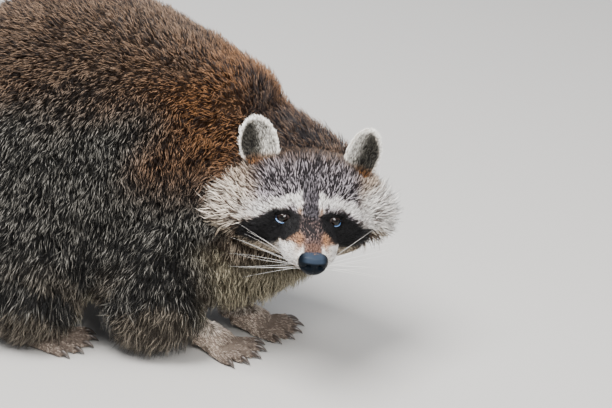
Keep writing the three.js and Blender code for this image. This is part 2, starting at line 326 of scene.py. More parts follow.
def nearestOnLine(points, line):
    best = np.full(len(points), np.inf)
    foot = np.zeros_like(points)
    for a, b in zip(line[:-1], line[1:]):
        share = np.clip(((points - a) @ (b - a)) / max(((b - a) @ (b - a)), 1e-12), 0, 1)
        here = a + share[:, None] * (b - a)
        far = np.linalg.norm(points - here, axis=1)
        foot = np.where((far < best)[:, None], here, foot)
        best = np.minimum(far, best)
    return foot


def wayIn(points, line, depth, kept=0.45):  # the move towards a line by depth, never past the kept share
    away = points - nearestOnLine(points, line)
    far = np.maximum(np.linalg.norm(away, axis=1), 1e-9)
    return away * (np.maximum(1 - depth / far, kept) - 1)[:, None]


# the skin

coatDepth = {  # millimetres from the tips of the coat in to the skin
    "trunk": 17, "neck": 15, "tail_base": 20, "tail_middle": 23, "tail_tip": 20,
    "upper_arm": 14, "forearm": 5, "thigh": 14, "shank": 5,
    "head": 20,  # only where the neck's skin runs on inside the head, which has a skin of its own
}
spines = {  # the direction, points and insets in millimetres of the line that each part is drawn in to
    "trunk": (0, 7, (70, 0)), "neck": (0, 4, (0, 4)), "tail_base": (0, 4, (0, 0)),
    "tail_middle": (0, 3, (0, 0)), "tail_tip": (0, 3, (24, 0)), "upper_arm": (2, 4, (22, 0)),
    "thigh": (2, 4, (22, 0)),
}
grains = {"body": 0.0037, "head": 0.0017, "paw": 0.0014}  # metres between the points of each skin
grown = {"body": 0.4, "head": 0.35, "paw": 0.3}  # millimetres by which the solids grow, so that they join
passes = {  # how often points, moves or values are evened out with their neighbours
    "bodySolids": 8, "bodyMove": 14, "bodySkin": 6, "bodyEnd": 5,
    "headSolids": 14, "headDepth": 8, "headMove": 4, "forehead": 40, "lids": 26,
    "pawSolids": 5, "leg": 40, "pawMove": 6, "ankle": 12, "share": 14, "lie": 30, "coat": 3,
}


def partOf(node):
    return node.removesuffix("_left").removesuffix("_right")


headNodes = ["head", "muzzle", "lower_jaw"]
headLine = fromHead([(-62, 0, 0), (-24, 0, -4), (16, 0, -16), (38, 0, -20)])
bodyNodes = [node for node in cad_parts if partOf(node) in spines] + headNodes


def bodyShell():
    solids = mergedSolids(bodyNodes, grown["body"] * mm)
    points, faces = remeshed(solids[0], solids[1], grains["body"])
    edges = edgesOf(faces)
    points = relaxed(points, edges, passes["bodySolids"])
    owner = nearestOwner(points, solids)
    move = np.zeros_like(points)
    for index, node in enumerate(bodyNodes):
        mine = owner == index
        if node in headNodes:
            move[mine] = wayIn(points[mine], headLine, coatDepth["head"] * mm)
        else:
            way, count, inset = spines[partOf(node)]
            move[mine] = wayIn(points[mine], spine(node, way, count, inset), coatDepth[partOf(node)] * mm)
    points = relaxed(points + relaxed(move, edges, passes["bodyMove"]), edges, passes["bodySkin"])
    points, faces = remeshed(points, faces, grains["body"])
    points = relaxed(points, edgesOf(faces), passes["bodyEnd"])
    return points, faces, nearestOwner(points, solids)


headFur = {  # millimetres from the tips of the coat in to the skin, and what each place adds
    "muzzle": 1.2, "face": 1.0, "cheeks": 14, "crown": 4, "top": 5, "nape": 8, "throat": 8, "most": 16,
}


def headDepth(local):
    a, b, c = local.T
    b = np.abs(b)
    depth = headFur["muzzle"] + headFur["face"] * smooth(14, 30, b)
    depth += headFur["cheeks"] * smooth(34, 72, b) * smooth(16, -12, a)
    depth += headFur["crown"] * smooth(0, 40, c) + headFur["top"] * smooth(14, 54, c)
    depth += headFur["nape"] * smooth(-28, -60, a)
    depth += headFur["throat"] * smooth(-34, -48, c) * smooth(20, -5, a)
    return np.minimum(depth, headFur["most"]) * mm


def finer(points, faces, chosen):  # the chosen triangles split in four, with their neighbours fitted
    mesh = meshOf("finer", points, faces)
    bm = bmesh.new()
    bm.from_mesh(mesh)
    bm.faces.ensure_lookup_table()
    edges = {e for i in np.flatnonzero(chosen) for e in bm.faces[i].edges}
    bmesh.ops.subdivide_edges(bm, edges=list(edges), cuts=1, use_grid_fill=True)
    bmesh.ops.triangulate(bm, faces=bm.faces[:])
    bm.to_mesh(mesh)
    bm.free()
    result = arraysOf(mesh)
    bpy.data.meshes.remove(mesh)
    return result


def eyeAxes(side):  # ahead, outwards and up for one eye
    sign = 1 if side == "left" else -1
    out, lift = face["eyeOut"], face["eyeLift"]
    look = headAhead * cos(out) * cos(lift) + headLeft * sign * sin(out) * cos(lift) + headUp * sin(lift)
    outwards = unit(np.cross(headUp, look) * sign)
    return np.stack([look, outwards, np.cross(look, outwards) * sign])


lid = {  # millimetres: the opening's half width and heights, the eyeball, and the lids' edge and thickness
    "wide": 5.9, "upper": 3.9, "lower": 3.7, "ball": 6.1, "edge": 0.75, "thick": 1.5,
    "sunk": 1.6, "reach": 17,  # how deep the skin goes behind the ball, and how far the lids shape it
    "slant": 0.12,  # the inner corner lies lower, and is taller, than the outer one
}


def inEye(points, side):  # millimetres ahead of, outwards from and above the middle of one eye
    return (points - eyeMiddle[side]) @ eyeAxes(side).T / mm


def lidHeight(x, above):
    return np.where(above, lid["upper"], lid["lower"]) * (1 - lid["slant"] * x / lid["wide"])


def lidOpening(x, y):  # 1 on the edge of the eye's opening, less inside; millimetres on the eyeball
    tilted = y + lid["slant"] * x
    return np.sqrt((x / lid["wide"]) ** 2 + (tilted / lidHeight(x, y > 0)) ** 2)


def aroundEye(points, side):  # places in the eye's axes, how far they lie from it, and lidOpening there
    local = inEye(points, side)
    far = np.linalg.norm(local, axis=1)
    return local, far, lidOpening(*(local[:, 1:] / np.maximum(far, 1)[:, None] * lid["ball"]).T)


def shapeLids(points):
    for side in sides:
        local = inEye(points, side)
        far = np.linalg.norm(local, axis=1)
        near = (far < lid["reach"]) & (local[:, 0] > -1)
        way = local[near] / far[near, None]
        s = lidOpening(way[:, 1] * lid["ball"], way[:, 2] * lid["ball"])
        target = lid["ball"] - lid["sunk"] + (lid["sunk"] + lid["edge"]) * smooth(0.84, 1.0, s)
        target += (lid["thick"] - lid["edge"]) * smooth(1.0, 1.35, s)
        share = (1 - smooth(1.15, 2.3, s)) * smooth(0.0, 0.4, way[:, 0])
        length = blend(far[near][:, None], target[:, None], share)[:, 0]
        points[near] = way * length[:, None] * mm @ eyeAxes(side) + eyeMiddle[side]
    return points


features = {  # millimetres by which the skin sinks or swells
    "lips": 1.4,  # a groove up to the corner of the mouth
    "hollow": 1.6,  # between the eye and the muzzle
    "stop": 1.0,  # between the brows
    "pads": 1.8,  # the swellings that carry the whiskers
    "forehead": 2.8,  # fills the step behind the brows
}


def shapeHead(points, faces):
    a, b, c = inHead(points).T
    mouthHeight = -33.5 + 0.16 * (a - 12)
    lips = bump(0, 1.5, c - mouthHeight) * smooth(10, 16, a) * features["lips"]
    hollow = bump(9, 9, a) * bump(13, 7, np.abs(b)) * bump(-3, 9, c) * features["hollow"]
    stop = bump(8, 12, a) * bump(0, 10, b) * bump(8, 8, c) * features["stop"]
    pads = bump(26, 14, a) * bump(17, 11, np.abs(b)) * bump(-24, 11, c) * features["pads"]
    return points + normalsOf(points, faces) * ((pads - lips - hollow - stop) * mm)[:, None]


def easedBy(weight, points, edges, times):  # relaxed, but only where the weight says so
    for _ in range(times):
        points = points + (averaged(points, edges) - points) * (0.5 * weight)[:, None]
    return points


def headShell():
    nodes = ["head", "muzzle", "lower_jaw", "nose", "eye_left", "eye_right"]
    solids = mergedSolids(nodes, grown["head"] * mm)
    points, faces = remeshed(solids[0], solids[1], grains["head"])
    edges = edgesOf(faces)
    points = relaxed(points, edges, passes["headSolids"])
    depth = relaxed(headDepth(inHead(points)), edges, passes["headDepth"])
    points = points + relaxed(wayIn(points, headLine, depth, 0.55), edges, passes["headMove"])
    # the forehead rises from the brows to the crown in one slope
    a, b, c = inHead(points).T
    forehead = bump(-20, 26, a) * smooth(44, 30, np.abs(b)) * smooth(10, 20, c)
    filling = features["forehead"] * mm * bump(-13, 11, a) * bump(0, 42, b) * smooth(12, 18, c)
    points = points + normalsOf(points, faces) * filling[:, None]
    points = easedBy(forehead, points, edges, passes["forehead"])
    for reach in (17, 12):  # finer twice over round the eyes
        near = np.zeros(len(points), bool)
        for side in sides:
            near |= np.linalg.norm(points - eyeMiddle[side], axis=1) < reach * mm
        points, faces = finer(points, faces, near[faces].all(1))
    points = shapeLids(shapeHead(points, faces))
    edges = edgesOf(faces)
    for side in sides:
        local, far, opening = aroundEye(points, side)
        loose = smooth(1.12, 1.5, opening) * (1 - smooth(15, 22, far)) * (local[:, 0] > -4)
        points = easedBy(loose, points, edges, passes["lids"])
    return points, faces


ear = {  # millimetres: the middle on the head, the half width and height, the cup's depth and its wall
    "at": {"left": (-46, 45, 38), "right": (-46, -39, 42)}, "lean": radians(16), "turn": radians(20),
    "back": radians(6), "wide": 15.3, "tall": 22.4, "deep": 8.8, "thick": 2.2, "rings": 26, "around": 56,
    "curl": 2.2,  # how far the sides curl back
}


def turning(axis, angle):  # a turn about X (0), Y (1) or Z (2)
    a, b = [k for k in range(3) if k != axis]
    matrix = np.eye(3)
    matrix[a, a] = matrix[b, b] = cos(angle)
    matrix[a, b] = sin(angle) if axis == 1 else -sin(angle)
    matrix[b, a] = -matrix[a, b]
    return matrix


def earAxes(side):  # out of the cup, across the ear and up it
    sign = 1 if side == "left" else -1
    turned = turning(2, sign * ear["turn"]) @ turning(1, -ear["back"]) @ turning(0, -sign * ear["lean"])
    return turned.T @ headAxes


def earCentre(side):
    return fromHead(ear["at"][side])


def inEar(points, side):  # millimetres out of the cup, across the ear and up it
    return (points - earCentre(side)) @ earAxes(side).T / mm


def earShell(side):
    rings, around = ear["rings"], ear["around"]
    middle = earCentre(side)
    angle = np.arange(around) * 2 * pi / around
    points, faces = [], []
    for layer in (0, 1):  # the back, then the inside of the cup
        for i in range(rings + 1 - layer):
            r = sin(i / rings * pi / 2)
            across = r * np.cos(angle) * ear["wide"]
            rise = r * np.sin(angle) * ear["tall"]
            rise = np.where(rise < 0, rise * 1.05, rise)
            cup = ear["deep"] * (1 - r ** 2.2) - ear["curl"] * (across / ear["wide"]) ** 2
            wall = ear["thick"] * np.sqrt(max(1 - r ** 5, 0))
            out = -cup + (wall if layer else 0)
            points.append(np.stack([out, across, rise], 1))
    sheet = rings + 1
    rows = np.arange(around)
    nextRow = (rows + 1) % around
    for layer, first, count in ((0, 0, sheet), (1, sheet, rings)):
        for i in range(count - 1):
            base, far = (first + i) * around, (first + i + 1) * around
            quad = np.stack([base + rows, base + nextRow, far + nextRow, far + rows], 1)
            faces.append(quad if layer else quad[:, ::-1])
    edgeA, edgeB = rings * around, (sheet + rings - 1) * around
    faces.append(np.stack([edgeB + rows, edgeB + nextRow, edgeA + nextRow, edgeA + rows], 1))
    points = np.concatenate(points)
    quads = np.concatenate(faces)
    triangles = np.concatenate([quads[:, [0, 1, 2]], quads[:, [0, 2, 3]]])
    # the rings at the two hubs shrink to one point each, so their empty triangles go
    points, triangles = sharedCorners(middle + points * mm @ earAxes(side), triangles, 1e-7)
    a, b, c = triangles.T
    return points, outward(points - middle, triangles[(a != b) & (b != c) & (a != c)])


legRise = (13 * mm, 24 * mm)  # over these heights the foot becomes the leg
pawFur = 0.9  # millimetres on the back of the foot


def legShell(lower, paw):  # the foot with the leg above it, as one
    solids = mergedSolids([lower, paw], grown["paw"] * mm)
    points, faces = remeshed(solids[0], solids[1], grains["paw"])
    edges = edgesOf(faces)
    points = relaxed(points, edges, passes["pawSolids"])
    high = smooth(*legRise, points[:, 2])
    points = blend(points, relaxed(points, edges, passes["leg"]), high)
    line = spine(lower, 2, 4)
    line = np.concatenate([[line[0] * 2 - line[1]], line])
    move = wayIn(points, line, coatDepth[partOf(lower)] * mm) * high[:, None]
    depth = pawFur * mm * smooth(1.0 * mm, 4 * mm, points[:, 2]) * (1 - high)
    move = move - normalsOf(points, faces) * depth[:, None]
    points = points + relaxed(move, edges, passes["pawMove"])
    points = blend(points, relaxed(points, edges, passes["ankle"]), high)
    points[:, 2] = np.maximum(points[:, 2], 0)
    isLeg = points[:, 2] > legRise[0] + (legRise[1] - legRise[0]) * 0.5
    return points, faces, isLeg


bodyPoints, bodyFaces, bodyOwner = bodyShell()
print("body skin:", len(bodyFaces), "triangles")
headPoints, headFaces = headShell()
print("head skin:", len(headFaces), "triangles")
shells = {"body": (bodyPoints, bodyFaces), "head": (headPoints, headFaces)}
legOwner = {}
for side in sides:
    shells["ear_" + side] = earShell(side)
    for lower, paw in (("forearm_", "forepaw_"), ("shank_", "hindpaw_")):
        *shell, legOwner[paw + side] = legShell(lower + side, paw + side)
        shells[paw + side] = tuple(shell)


# which part each point of the skin belongs to, and the lie of the coat

parts = [
    "trunk", "neck", "head", "tail", "upper_arm", "forearm", "forepaw", "thigh", "shank", "hindpaw", "ear",
]
partOfNode = {
    "muzzle": "head", "lower_jaw": "head", "tail_base": "tail", "tail_middle": "tail", "tail_tip": "tail",
}
shellNames = list(shells)


def partNumber(node):
    return parts.index(partOfNode.get(node, partOf(node)))


def isPart(part, *names):
    return np.isin(part, [parts.index(name) for name in names])


def isShell(shell, name):
    return shell == shellNames.index(name)


skin = {"points": [], "faces": [], "part": [], "shell": []}
bodyParts = np.array([partNumber("neck" if n in headNodes else n) for n in bodyNodes])
start = 0
for number, (name, (points, faces)) in enumerate(shells.items()):
    skin["points"].append(points)
    skin["faces"].append(faces + start)
    if name == "body":
        skin["part"].append(bodyParts[bodyOwner])
    elif name in legOwner:
        lower = partNumber("forearm" if name.startswith("fore") else "shank")
        skin["part"].append(np.where(legOwner[name], lower, partNumber(name)))
    else:
        skin["part"].append(np.full(len(points), partNumber(name)))
    skin["shell"].append(np.full(len(points), number))
    start += len(points)
skin = {key: np.concatenate(value) for key, value in skin.items()}
skin["edges"] = edgesOf(skin["faces"])
skin["normals"] = normalsOf(skin["points"], skin["faces"])
oneHot = np.eye(len(parts))[skin["part"]]
skin["share"] = relaxed(oneHot, skin["edges"], passes["share"])

forePaw = {"length": 52, "wide": 16, "toe": 24, "spread": 28}  # millimetres and degrees, as in the CAD
hindPaw = {"length": 92, "wide": 17, "toe": 25, "spread": 20}
paws = {  # with the wrist or heel, from the low corner of the node's box, and the foot's turn to the left
    "forepaw_right": {**forePaw, "from": (5.8, 36.4), "turn": radians(-12)},
    "forepaw_left": {**forePaw, "from": (5.9, 27.0), "turn": 0},
    "hindpaw_right": {**hindPaw, "from": (8.1, 33.3), "turn": radians(-4)},
    "hindpaw_left": {**hindPaw, "from": (8.1, 21.4), "turn": radians(4)},
}


def lieOfCoat(points, normals, part, shell):  # the way the hair points, along the skin
    sideways = normals[:, 1:2] ** 2 / (normals[:, 0:1] ** 2 + normals[:, 1:2] ** 2 + 1e-6)
    side = (1 - np.abs(normals[:, 2:3])) * sideways
    lie = np.zeros_like(points)
    minusX, down = np.array([-1.0, 0, 0]), np.array([0, 0, -1.0])
    rear = smooth(0.35, 0.8, -normals[:, 0])[:, None]
    front = (smooth(0.3, 0.8, normals[:, 0]) * smooth(0.19, 0.13, points[:, 2]))[:, None]
    fore = np.maximum(smooth(0.02, 0.13, points[:, 0:1]), smooth(0.19, 0.24, points[:, 2:3]))
    trunkDown = (1.25 + 0.6 * fore) * side + 1.4 * rear + 1.2 * front
    choices = {
        "trunk": minusX * (1 - (0.76 + 0.14 * fore) * side ** 0.65) + down * trunkDown,
        "neck": minusX * (1 - 0.6 * side ** 0.8) + down * (1.1 * side + front),
        "tail": minusX + down * 0.12, "upper_arm": minusX * 0.45 + down, "thigh": minusX * 0.5 + down,
        "forearm": minusX * 0.25 + down, "shank": minusX * 0.2 + down,
    }
    for name, value in choices.items():
        mine = isPart(part, name)
        lie[mine] = np.broadcast_to(value, lie.shape)[mine]
    chest = (smooth(0.15, 0.19, points[:, 0]) * smooth(0.16, 0.12, points[:, 2]))[:, None]
    chest = chest * isPart(part, "neck", "trunk")[:, None]
    lie = lie + (down + minusX * 0.12 - lie) * chest * 0.9
    for name, paw in paws.items():
        mine = isShell(shell, name) & isPart(part, "forepaw", "hindpaw")
        lie[mine] = (cos(paw["turn"]), sin(paw["turn"]), -0.25)
    local = inHead(points)
    fromNose = local - np.array([52, 0, -20])
    fromNose[:, 1] *= 1.15
    fromNose[:, 2] -= 6 * smooth(20, 60, np.abs(local[:, 1]))
    fromNose[:, 2] -= 34 * smooth(25, 50, np.abs(local[:, 1])) * smooth(4, -16, local[:, 2])
    mine = isPart(part, "head")
    lie[mine] = (unit(fromNose) @ headAxes)[mine]
    for s in sides:
        mine = isShell(shell, "ear_" + s)
        axes = earAxes(s)
        across = inEar(points, s)[:, 1:2]
        lie[mine] = (axes[2] + axes[1] * (across * 0.03) + axes[0] * 0.1)[mine]
    return unit(lie - normals * (lie * normals).sum(1, keepdims=True))


skin["lie"] = lieOfCoat(skin["points"], skin["normals"], skin["part"], skin["shell"])
skin["lie"] = unit(relaxed(skin["lie"], skin["edges"], passes["lie"]))


# markings, shared by the skin and the coat

colours = {name: linear(*rgb) for name, rgb in {
    "black": (12, 10, 11), "mask": (10, 9, 11), "maskTip": (24, 22, 27), "white": (252, 250, 247),
    "browMid": (88, 70, 60), "muzzleMid": (138, 127, 119),
    "rust": (50, 29, 17), "rustTip": (196, 134, 78), "rustRoot": (20, 12, 8),
    "flankRoot": (12, 11, 11), "flankMid": (31, 31, 31), "flankTip": (178, 174, 165),
    "backRoot": (16, 12, 10), "backMid": (40, 29, 24), "backTip": (178, 146, 120),
    "fringeRoot": (38, 34, 29), "fringe": (80, 72, 62), "fringeTip": (174, 160, 140),
    "crownRoot": (26, 22, 26), "crownMid": (34, 27, 31), "crownTip": (222, 212, 219),
    "stripeTip": (120, 114, 124), "tanTip": (222, 160, 108),
    "ruffRoot": (40, 29, 22), "ruffMid": (82, 60, 45), "ruffTip": (252, 240, 224),
    "ruffTop": (60, 42, 31), "ruffTopTip": (216, 188, 160), "napeTip": (158, 128, 106),
    "cheekMid": (84, 66, 50), "cheekTip": (226, 210, 186),
    "bridgeRoot": (44, 31, 30), "bridgeTip": (200, 168, 161),
    "snout": (78, 50, 41), "snoutTip": (176, 137, 118),
    "buffRoot": (54, 48, 38), "buff": (112, 102, 80), "buffTip": (208, 198, 170),
    "ringDark": (26, 21, 20), "ringPale": (160, 132, 104),
    "paw": (186, 166, 149), "pawTip": (236, 220, 204), "toe": (140, 124, 112), "toeTip": (200, 184, 170),
    "arm": (194, 179, 164), "armTip": (244, 232, 219), "legRoot": (112, 99, 89), "peach": (232, 186, 152),
    "earInner": (106, 102, 92), "earDeep": (38, 36, 34), "earRim": (244, 240, 232),
}.items()}


tailRings = 6.2


def paintBody(paint, points, normals, part, shell):
    x, _, z = points.T
    wobble = waves(points, 0.05, 3)
    paint(1, "flankRoot", "flankMid", "flankTip", 0.31)
    paint(smooth(0.14, 0.07, z + 0.01 * wobble), "flankRoot", "flankMid", "flankTip", 0.16)
    paint(smooth(0.185, 0.245, z + 0.01 * wobble), "backRoot", "backMid", "backTip", 0.38)
    shoulder = smooth(0.09, 0.2, x + 0.02 * wobble) * smooth(0.12, 0.18, z) * smooth(0.265, 0.22, z)
    paint(shoulder * 0.88, "rustRoot", "rust", "rustTip", 0.38)
    onBody = isPart(part, "trunk", "neck")
    paint(smooth(0.3, 0.7, -normals[:, 2]) * onBody, "buffRoot", "buff", "buffTip", 0.45)
    chest = smooth(0.172, 0.2, x + 0.01 * wobble) * smooth(0.125, 0.095, z + 0.006 * wobble)
    paint(chest, "buffRoot", "buff", "buffTip", 0.5)
    # painted shadow: a dark band low on the near front of the trunk, just behind the head
    band = bump(0.176, 0.02, x + 0.005 * wobble) * smooth(0.16, 0.11, z) * (normals[:, 1] < 0.2)
    paint(band * 0.85, "black", "flankRoot", "flankTip", 0.12)
    fringe = isPart(part, "upper_arm", "thigh") * smooth(0.1, 0.04, z)
    paint(fringe * 0.8, "fringeRoot", "fringe", "fringeTip", 0.4)
    paint(isPart(part, "forearm"), "legRoot", "arm", "armTip", 0.55)
    paint(isPart(part, "shank"), "flankRoot", "toe", "toeTip", 0.4)
    feet = isPart(part, "forepaw", "hindpaw")
    paint(feet, "legRoot", "paw", "pawTip", 0.5)
    # the hind paws are painted darker all over as painted shade under the body; the darker toes are the
    # paws' own colour
    toes = 0.7 * isPart(part, "hindpaw")
    for name in paws:
        toes = np.maximum(toes, isShell(shell, name) * smooth(-0.042, -0.026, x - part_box(name)[1][0]))
    paint(feet * toes, "legRoot", "toe", "toeTip", 0.4)
    # rings round the tail
    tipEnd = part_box("tail_tip")[0][0]
    along = (x - tipEnd) / (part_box("tail_base")[1][0] - tipEnd)
    onTail = isPart(part, "tail")
    wave = 0.5 + 0.5 * np.cos(2 * pi * (along * tailRings + 0.02 * wobble))
    ring = np.maximum(smooth(0.4, 0.62, wave), smooth(0.12, 0.07, along)) * smooth(0.97, 0.9, along)
    paint(onTail, "buffRoot", "ringPale", "ringPale", 0.5)
    paint(onTail * ring, "ringDark", "ringDark", "ringDark", 0.5)


def unevenness(points):  # millimetres by which the edges of the face's markings stray
    return waves(points, 0.012, 5) * 1.3


def paintHead(paint, points, part):  # its ground: crown, nape, ruffs, cheeks and throat
    a, b, c = inHead(points).T
    sideways, jitter = np.abs(b), unevenness(points)
    onHead = isPart(part, "head").astype(float)
    paint(onHead, "crownRoot", "crownMid", "crownTip", 0.2)
    # on the neck under the head and behind the ruffs the fur is painted darker: partly its own dark fur,
    # partly painted shade
    under = smooth(90, 60, sideways) * smooth(-64, -40, a) * smooth(-20, -34, c) * isPart(part, "neck")
    paint(under * smooth(-70, -44, c) * 0.9, "backRoot", "ruffRoot", "cheekMid", 0.3)
    belowCheek = smooth(61, 52, sideways) * smooth(-52, -44, c)
    paint(under * belowCheek * 0.85, "ruffRoot", "cheekMid", "cheekTip", 0.4)
    paint(onHead * smooth(-15, -36, a + 2 * jitter), "backRoot", "backMid", "napeTip", 0.3)
    nape = smooth(62, 36, sideways) * smooth(-128, -92, a) * smooth(2, 16, c)
    paint(nape * isPart(part, "trunk", "neck"), "crownRoot", "crownMid", "napeTip", 0.26)
    ruff = onHead * smooth(34, 50, sideways + jitter) * smooth(34, 14, c + jitter)
    paint(ruff, "ruffRoot", "ruffMid", "ruffTip", 0.64)
    paint(ruff * smooth(8, 22, c + 2 * jitter) * 0.78, "ruffRoot", "ruffTop", "ruffTopTip", 0.5)
    # the left ruff, which faces the lamps, is painted whiter than the right: partly its own white fur,
    # partly painted light
    paint(ruff * smooth(34, 50, b) * smooth(20, 10, c) * 0.85, "ruffRoot", "browMid", "white", 0.9)
    cheek = smooth(-12, -17, c + jitter) * smooth(12, 22, sideways)
    paint(onHead * cheek, "ruffRoot", "cheekMid", "cheekTip", 0.5)
    throat = smooth(-38, -46, c + jitter) * smooth(22, 5, a)
    paint(onHead * throat, "buffRoot", "buff", "buffTip", 0.4)


courses = {  # millimetres sideways, each with the height, or half width, of the marking there
    "brow": (5, 12.5, 12, 12.5, 21, 11.6, 28, 9.2, 37, 4.9, 46, -0.4, 58, -7),
    "browHalf": (4, 6.5, 10, 5.6, 16, 2.8, 28, 3.2, 40, 4.4, 58, 7),
    "maskTop": (0, 4, 9, 5, 20, 7.2, 28, 4.5, 35, 0, 43, -7, 50, -12, 56, -16),
    "onMuzzle": (0, -2, 9, -3, 12, -5, 17, -9, 21, -12.5, 27, -16, 34, -19, 45, -23.5, 50, -23),
    "onCheek": (0, -2, 9, -3, 12, -5, 15.5, -7, 19.7, -11, 22.5, -17, 25, -23, 36, -23, 45, -24, 50, -23),
}


def paintFace(paint, points, part):
    a, b, c = inHead(points).T
    sideways, jitter = np.abs(b), unevenness(points)
    onHead = isPart(part, "head").astype(float)

    def course(key):
        return np.interp(sideways, courses[key][::2], courses[key][1::2])

    # pale brows: a short streak beside the stripe, and one over the eye that runs out into the ruff
    half = course("browHalf")
    brow = smooth(half + 2.6, half - 1.5, np.abs(c - course("brow")) + 1.5 * jitter)
    brow = brow * smooth(5.2, 7.2, sideways + 0.3 * jitter) * smooth(60, 34, sideways)
    brow = brow * (1 - 0.92 * bump(13, 4.2, sideways) * smooth(15, 9, c + jitter))
    paint(onHead * brow, "ruffRoot", "browMid", "white", 0.83)
    # tan beside the nose's root and on the muzzle, under the mask's edge
    paint(onHead * smooth(14, 19, a) * smooth(0, -4, c), "bridgeRoot", "snout", "peach", 0.5)
    beside = bump(7.8, 2.8, sideways + 0.6 * jitter) * smooth(2, 6, c + jitter) * smooth(11, 7.5, c)
    paint(onHead * beside, "bridgeRoot", "browMid", "peach", 0.55)
    # the mask, from the sides of the nose out past the eyes and down
    top, onCheek = course("maskTop"), course("onCheek")
    low = onCheek + (course("onMuzzle") - onCheek) * smooth(5, 15, a)
    inner = 6.5 + 2.5 * smooth(3, 8, c)
    mask = smooth(top + 1.2, top - 1.2, c + jitter * 0.7) * smooth(low - 1.5, low + 1.5, c + jitter * 0.7)
    mask = mask * smooth(57, 50, sideways + jitter)
    mask = mask * smooth(inner - 0.8, inner + 1.2, sideways + 0.5 * jitter)
    paint(onHead * mask, "black", "mask", "maskTip", 0.3)
    for s in sides:
        far = np.linalg.norm(inEye(points, s) * (1, 0.7, 1.15), axis=1)
        paint(onHead * smooth(9.2, 8.0, far), "black", "mask", "mask", 0.2)
    # the stripe down the middle, and the dark brown bridge below it
    stripe = smooth(6.8, 4.0, sideways + 1.2 * jitter) * smooth(40, 8, c + 2 * jitter)
    paint(onHead * (stripe * smooth(-30, -20, c)) * 0.92, "mask", "crownRoot", "stripeTip", 0.34)
    lower = smooth(9.5, 7.5, sideways + 0.4 * jitter) * smooth(8, 14, a + jitter) * smooth(-26, -20, c)
    paint(onHead * lower, "mask", "crownRoot", "bridgeTip", 0.08)
    # the muzzle: white sides, a rusty brown bridge, tan where they meet
    whiteTop = np.interp(a, (3, 10, 26, 36), (-21, -17, -10.5, -9))
    white = smooth(-2, 9, a + 2 * jitter) * smooth(whiteTop + 1.5, whiteTop - 1.5, c + jitter)
    paint(onHead * white, "cheekTip", "muzzleMid", "white", 0.84)
    half = 9 - 2.2 * smooth(30, 38, a)
    bridge = smooth(half, half - 2.5, sideways + 0.6 * jitter) * smooth(25, 32, a + jitter)
    bridge = onHead * (bridge * smooth(-26, -20, c))
    paint(bridge, "bridgeRoot", "bridgeRoot", "bridgeTip", 0.3)
    paint(bridge * smooth(30, 37, a + jitter), "bridgeRoot", "snout", "snoutTip", 0.45)
    tan = bump(9.5, 6, sideways + 0.5 * jitter) * smooth(22, 27, a) * smooth(40, 34, a)
    paint(onHead * tan * 0.8, "bridgeRoot", "snout", "tanTip", 0.7)


def paintEar(paint, points, normals, shell, side):
    mine = isShell(shell, "ear_" + side).astype(float)
    _, across, rise = inEar(points, side).T
    outwards = np.sqrt((across / ear["wide"]) ** 2 + (rise / ear["tall"]) ** 2)
    inner = smooth(0.1, 0.4, normals @ earAxes(side)[0])
    outerSide = across * (1 if side == "left" else -1)
    paint(mine, "ruffRoot", "earInner", "ruffTip", 0.5)
    paint(mine * inner, "earDeep", "earDeep", "earInner", 0.5)
    lining = inner * smooth(6, -3, outerSide) * smooth(-18, -8, rise)
    paint(mine * lining, "earInner", "earInner", "earRim", 0.7)
    paint(mine * smooth(0.88, 0.97, outwards) * smooth(-16, -6, rise), "cheekTip", "earRim", "earRim", 0.8)
    paint(mine * smooth(-6, -16, rise), "rust", "rust", "rustTip", 0.6)


def markings(points, normals, part, shell):  # colours at root, middle and tip, and the share of pale tufts
    count = len(points)
    tones = np.zeros((3, count, 3))
    pale = np.zeros(count)

    def paint(where, rootColour, middleColour, tipColour, paleShare):
        share = np.broadcast_to(np.asarray(where, float), (count,))
        for target, name in zip(tones, (rootColour, middleColour, tipColour)):
            target += (colours[name] - target) * share[:, None]
        pale[:] += (paleShare - pale) * share

    paintBody(paint, points, normals, part, shell)
    paintHead(paint, points, part)
    paintFace(paint, points, part)
    for side in sides:
        paintEar(paint, points, normals, shell, side)
    return *tones, pale


# the skin as one object, with its unwrap

def addColours(mesh, name, rgb):
    layer = mesh.attributes.new(name, "FLOAT_COLOR", "POINT")
    layer.data.foreach_set("color", np.column_stack([rgb, np.ones(len(rgb))]).astype(np.float32).ravel())


skinMesh = meshOf("skin", skin["points"], skin["faces"])
skinObject = addObject("skin", skinMesh)
skinRoot, skinMiddle, skinTip, _ = markings(skin["points"], skin["normals"], skin["part"], skin["shell"])
skinShares = (0.5, 0.4, 0.1)  # how much of the tufts' root, middle and tip colours shows on the skin
skinTone = skinRoot * skinShares[0] + skinMiddle * skinShares[1] + skinTip * skinShares[2]
addColours(skinMesh, "coat", deepened(skinTone))
bpy.context.view_layer.objects.active = skinObject
skinObject.select_set(True)
skinMesh.uv_layers.new(name="OFBake")
bpy.ops.object.mode_set(mode="EDIT")
bpy.ops.mesh.select_all(action="SELECT")
bpy.ops.uv.smart_project(angle_limit=radians(66), island_margin=0.001)
bpy.ops.object.mode_set(mode="OBJECT")
skinMesh.shade_smooth()
uv = np.zeros(len(skinMesh.loops) * 2, np.float32)
skinMesh.uv_layers["OFBake"].data.foreach_get("uv", uv)
skin["uv"] = uv.reshape(-1, 3, 2).astype(float)
print("skin joined and unwrapped:", len(skin["faces"]), "triangles")


# Geometry Nodes: what repeats or follows a path

def newTree(name, **kinds):  # a Geometry Nodes tree with these inputs
    tree = bpy.data.node_groups.new(name, "GeometryNodeTree")
    for label, kind in {"Geometry": "Geometry", **kinds}.items():
        tree.interface.new_socket(name=label, in_out="INPUT", socket_type="NodeSocket" + kind)
    tree.interface.new_socket(name="Geometry", in_out="OUTPUT", socket_type="NodeSocketGeometry")
    return tree


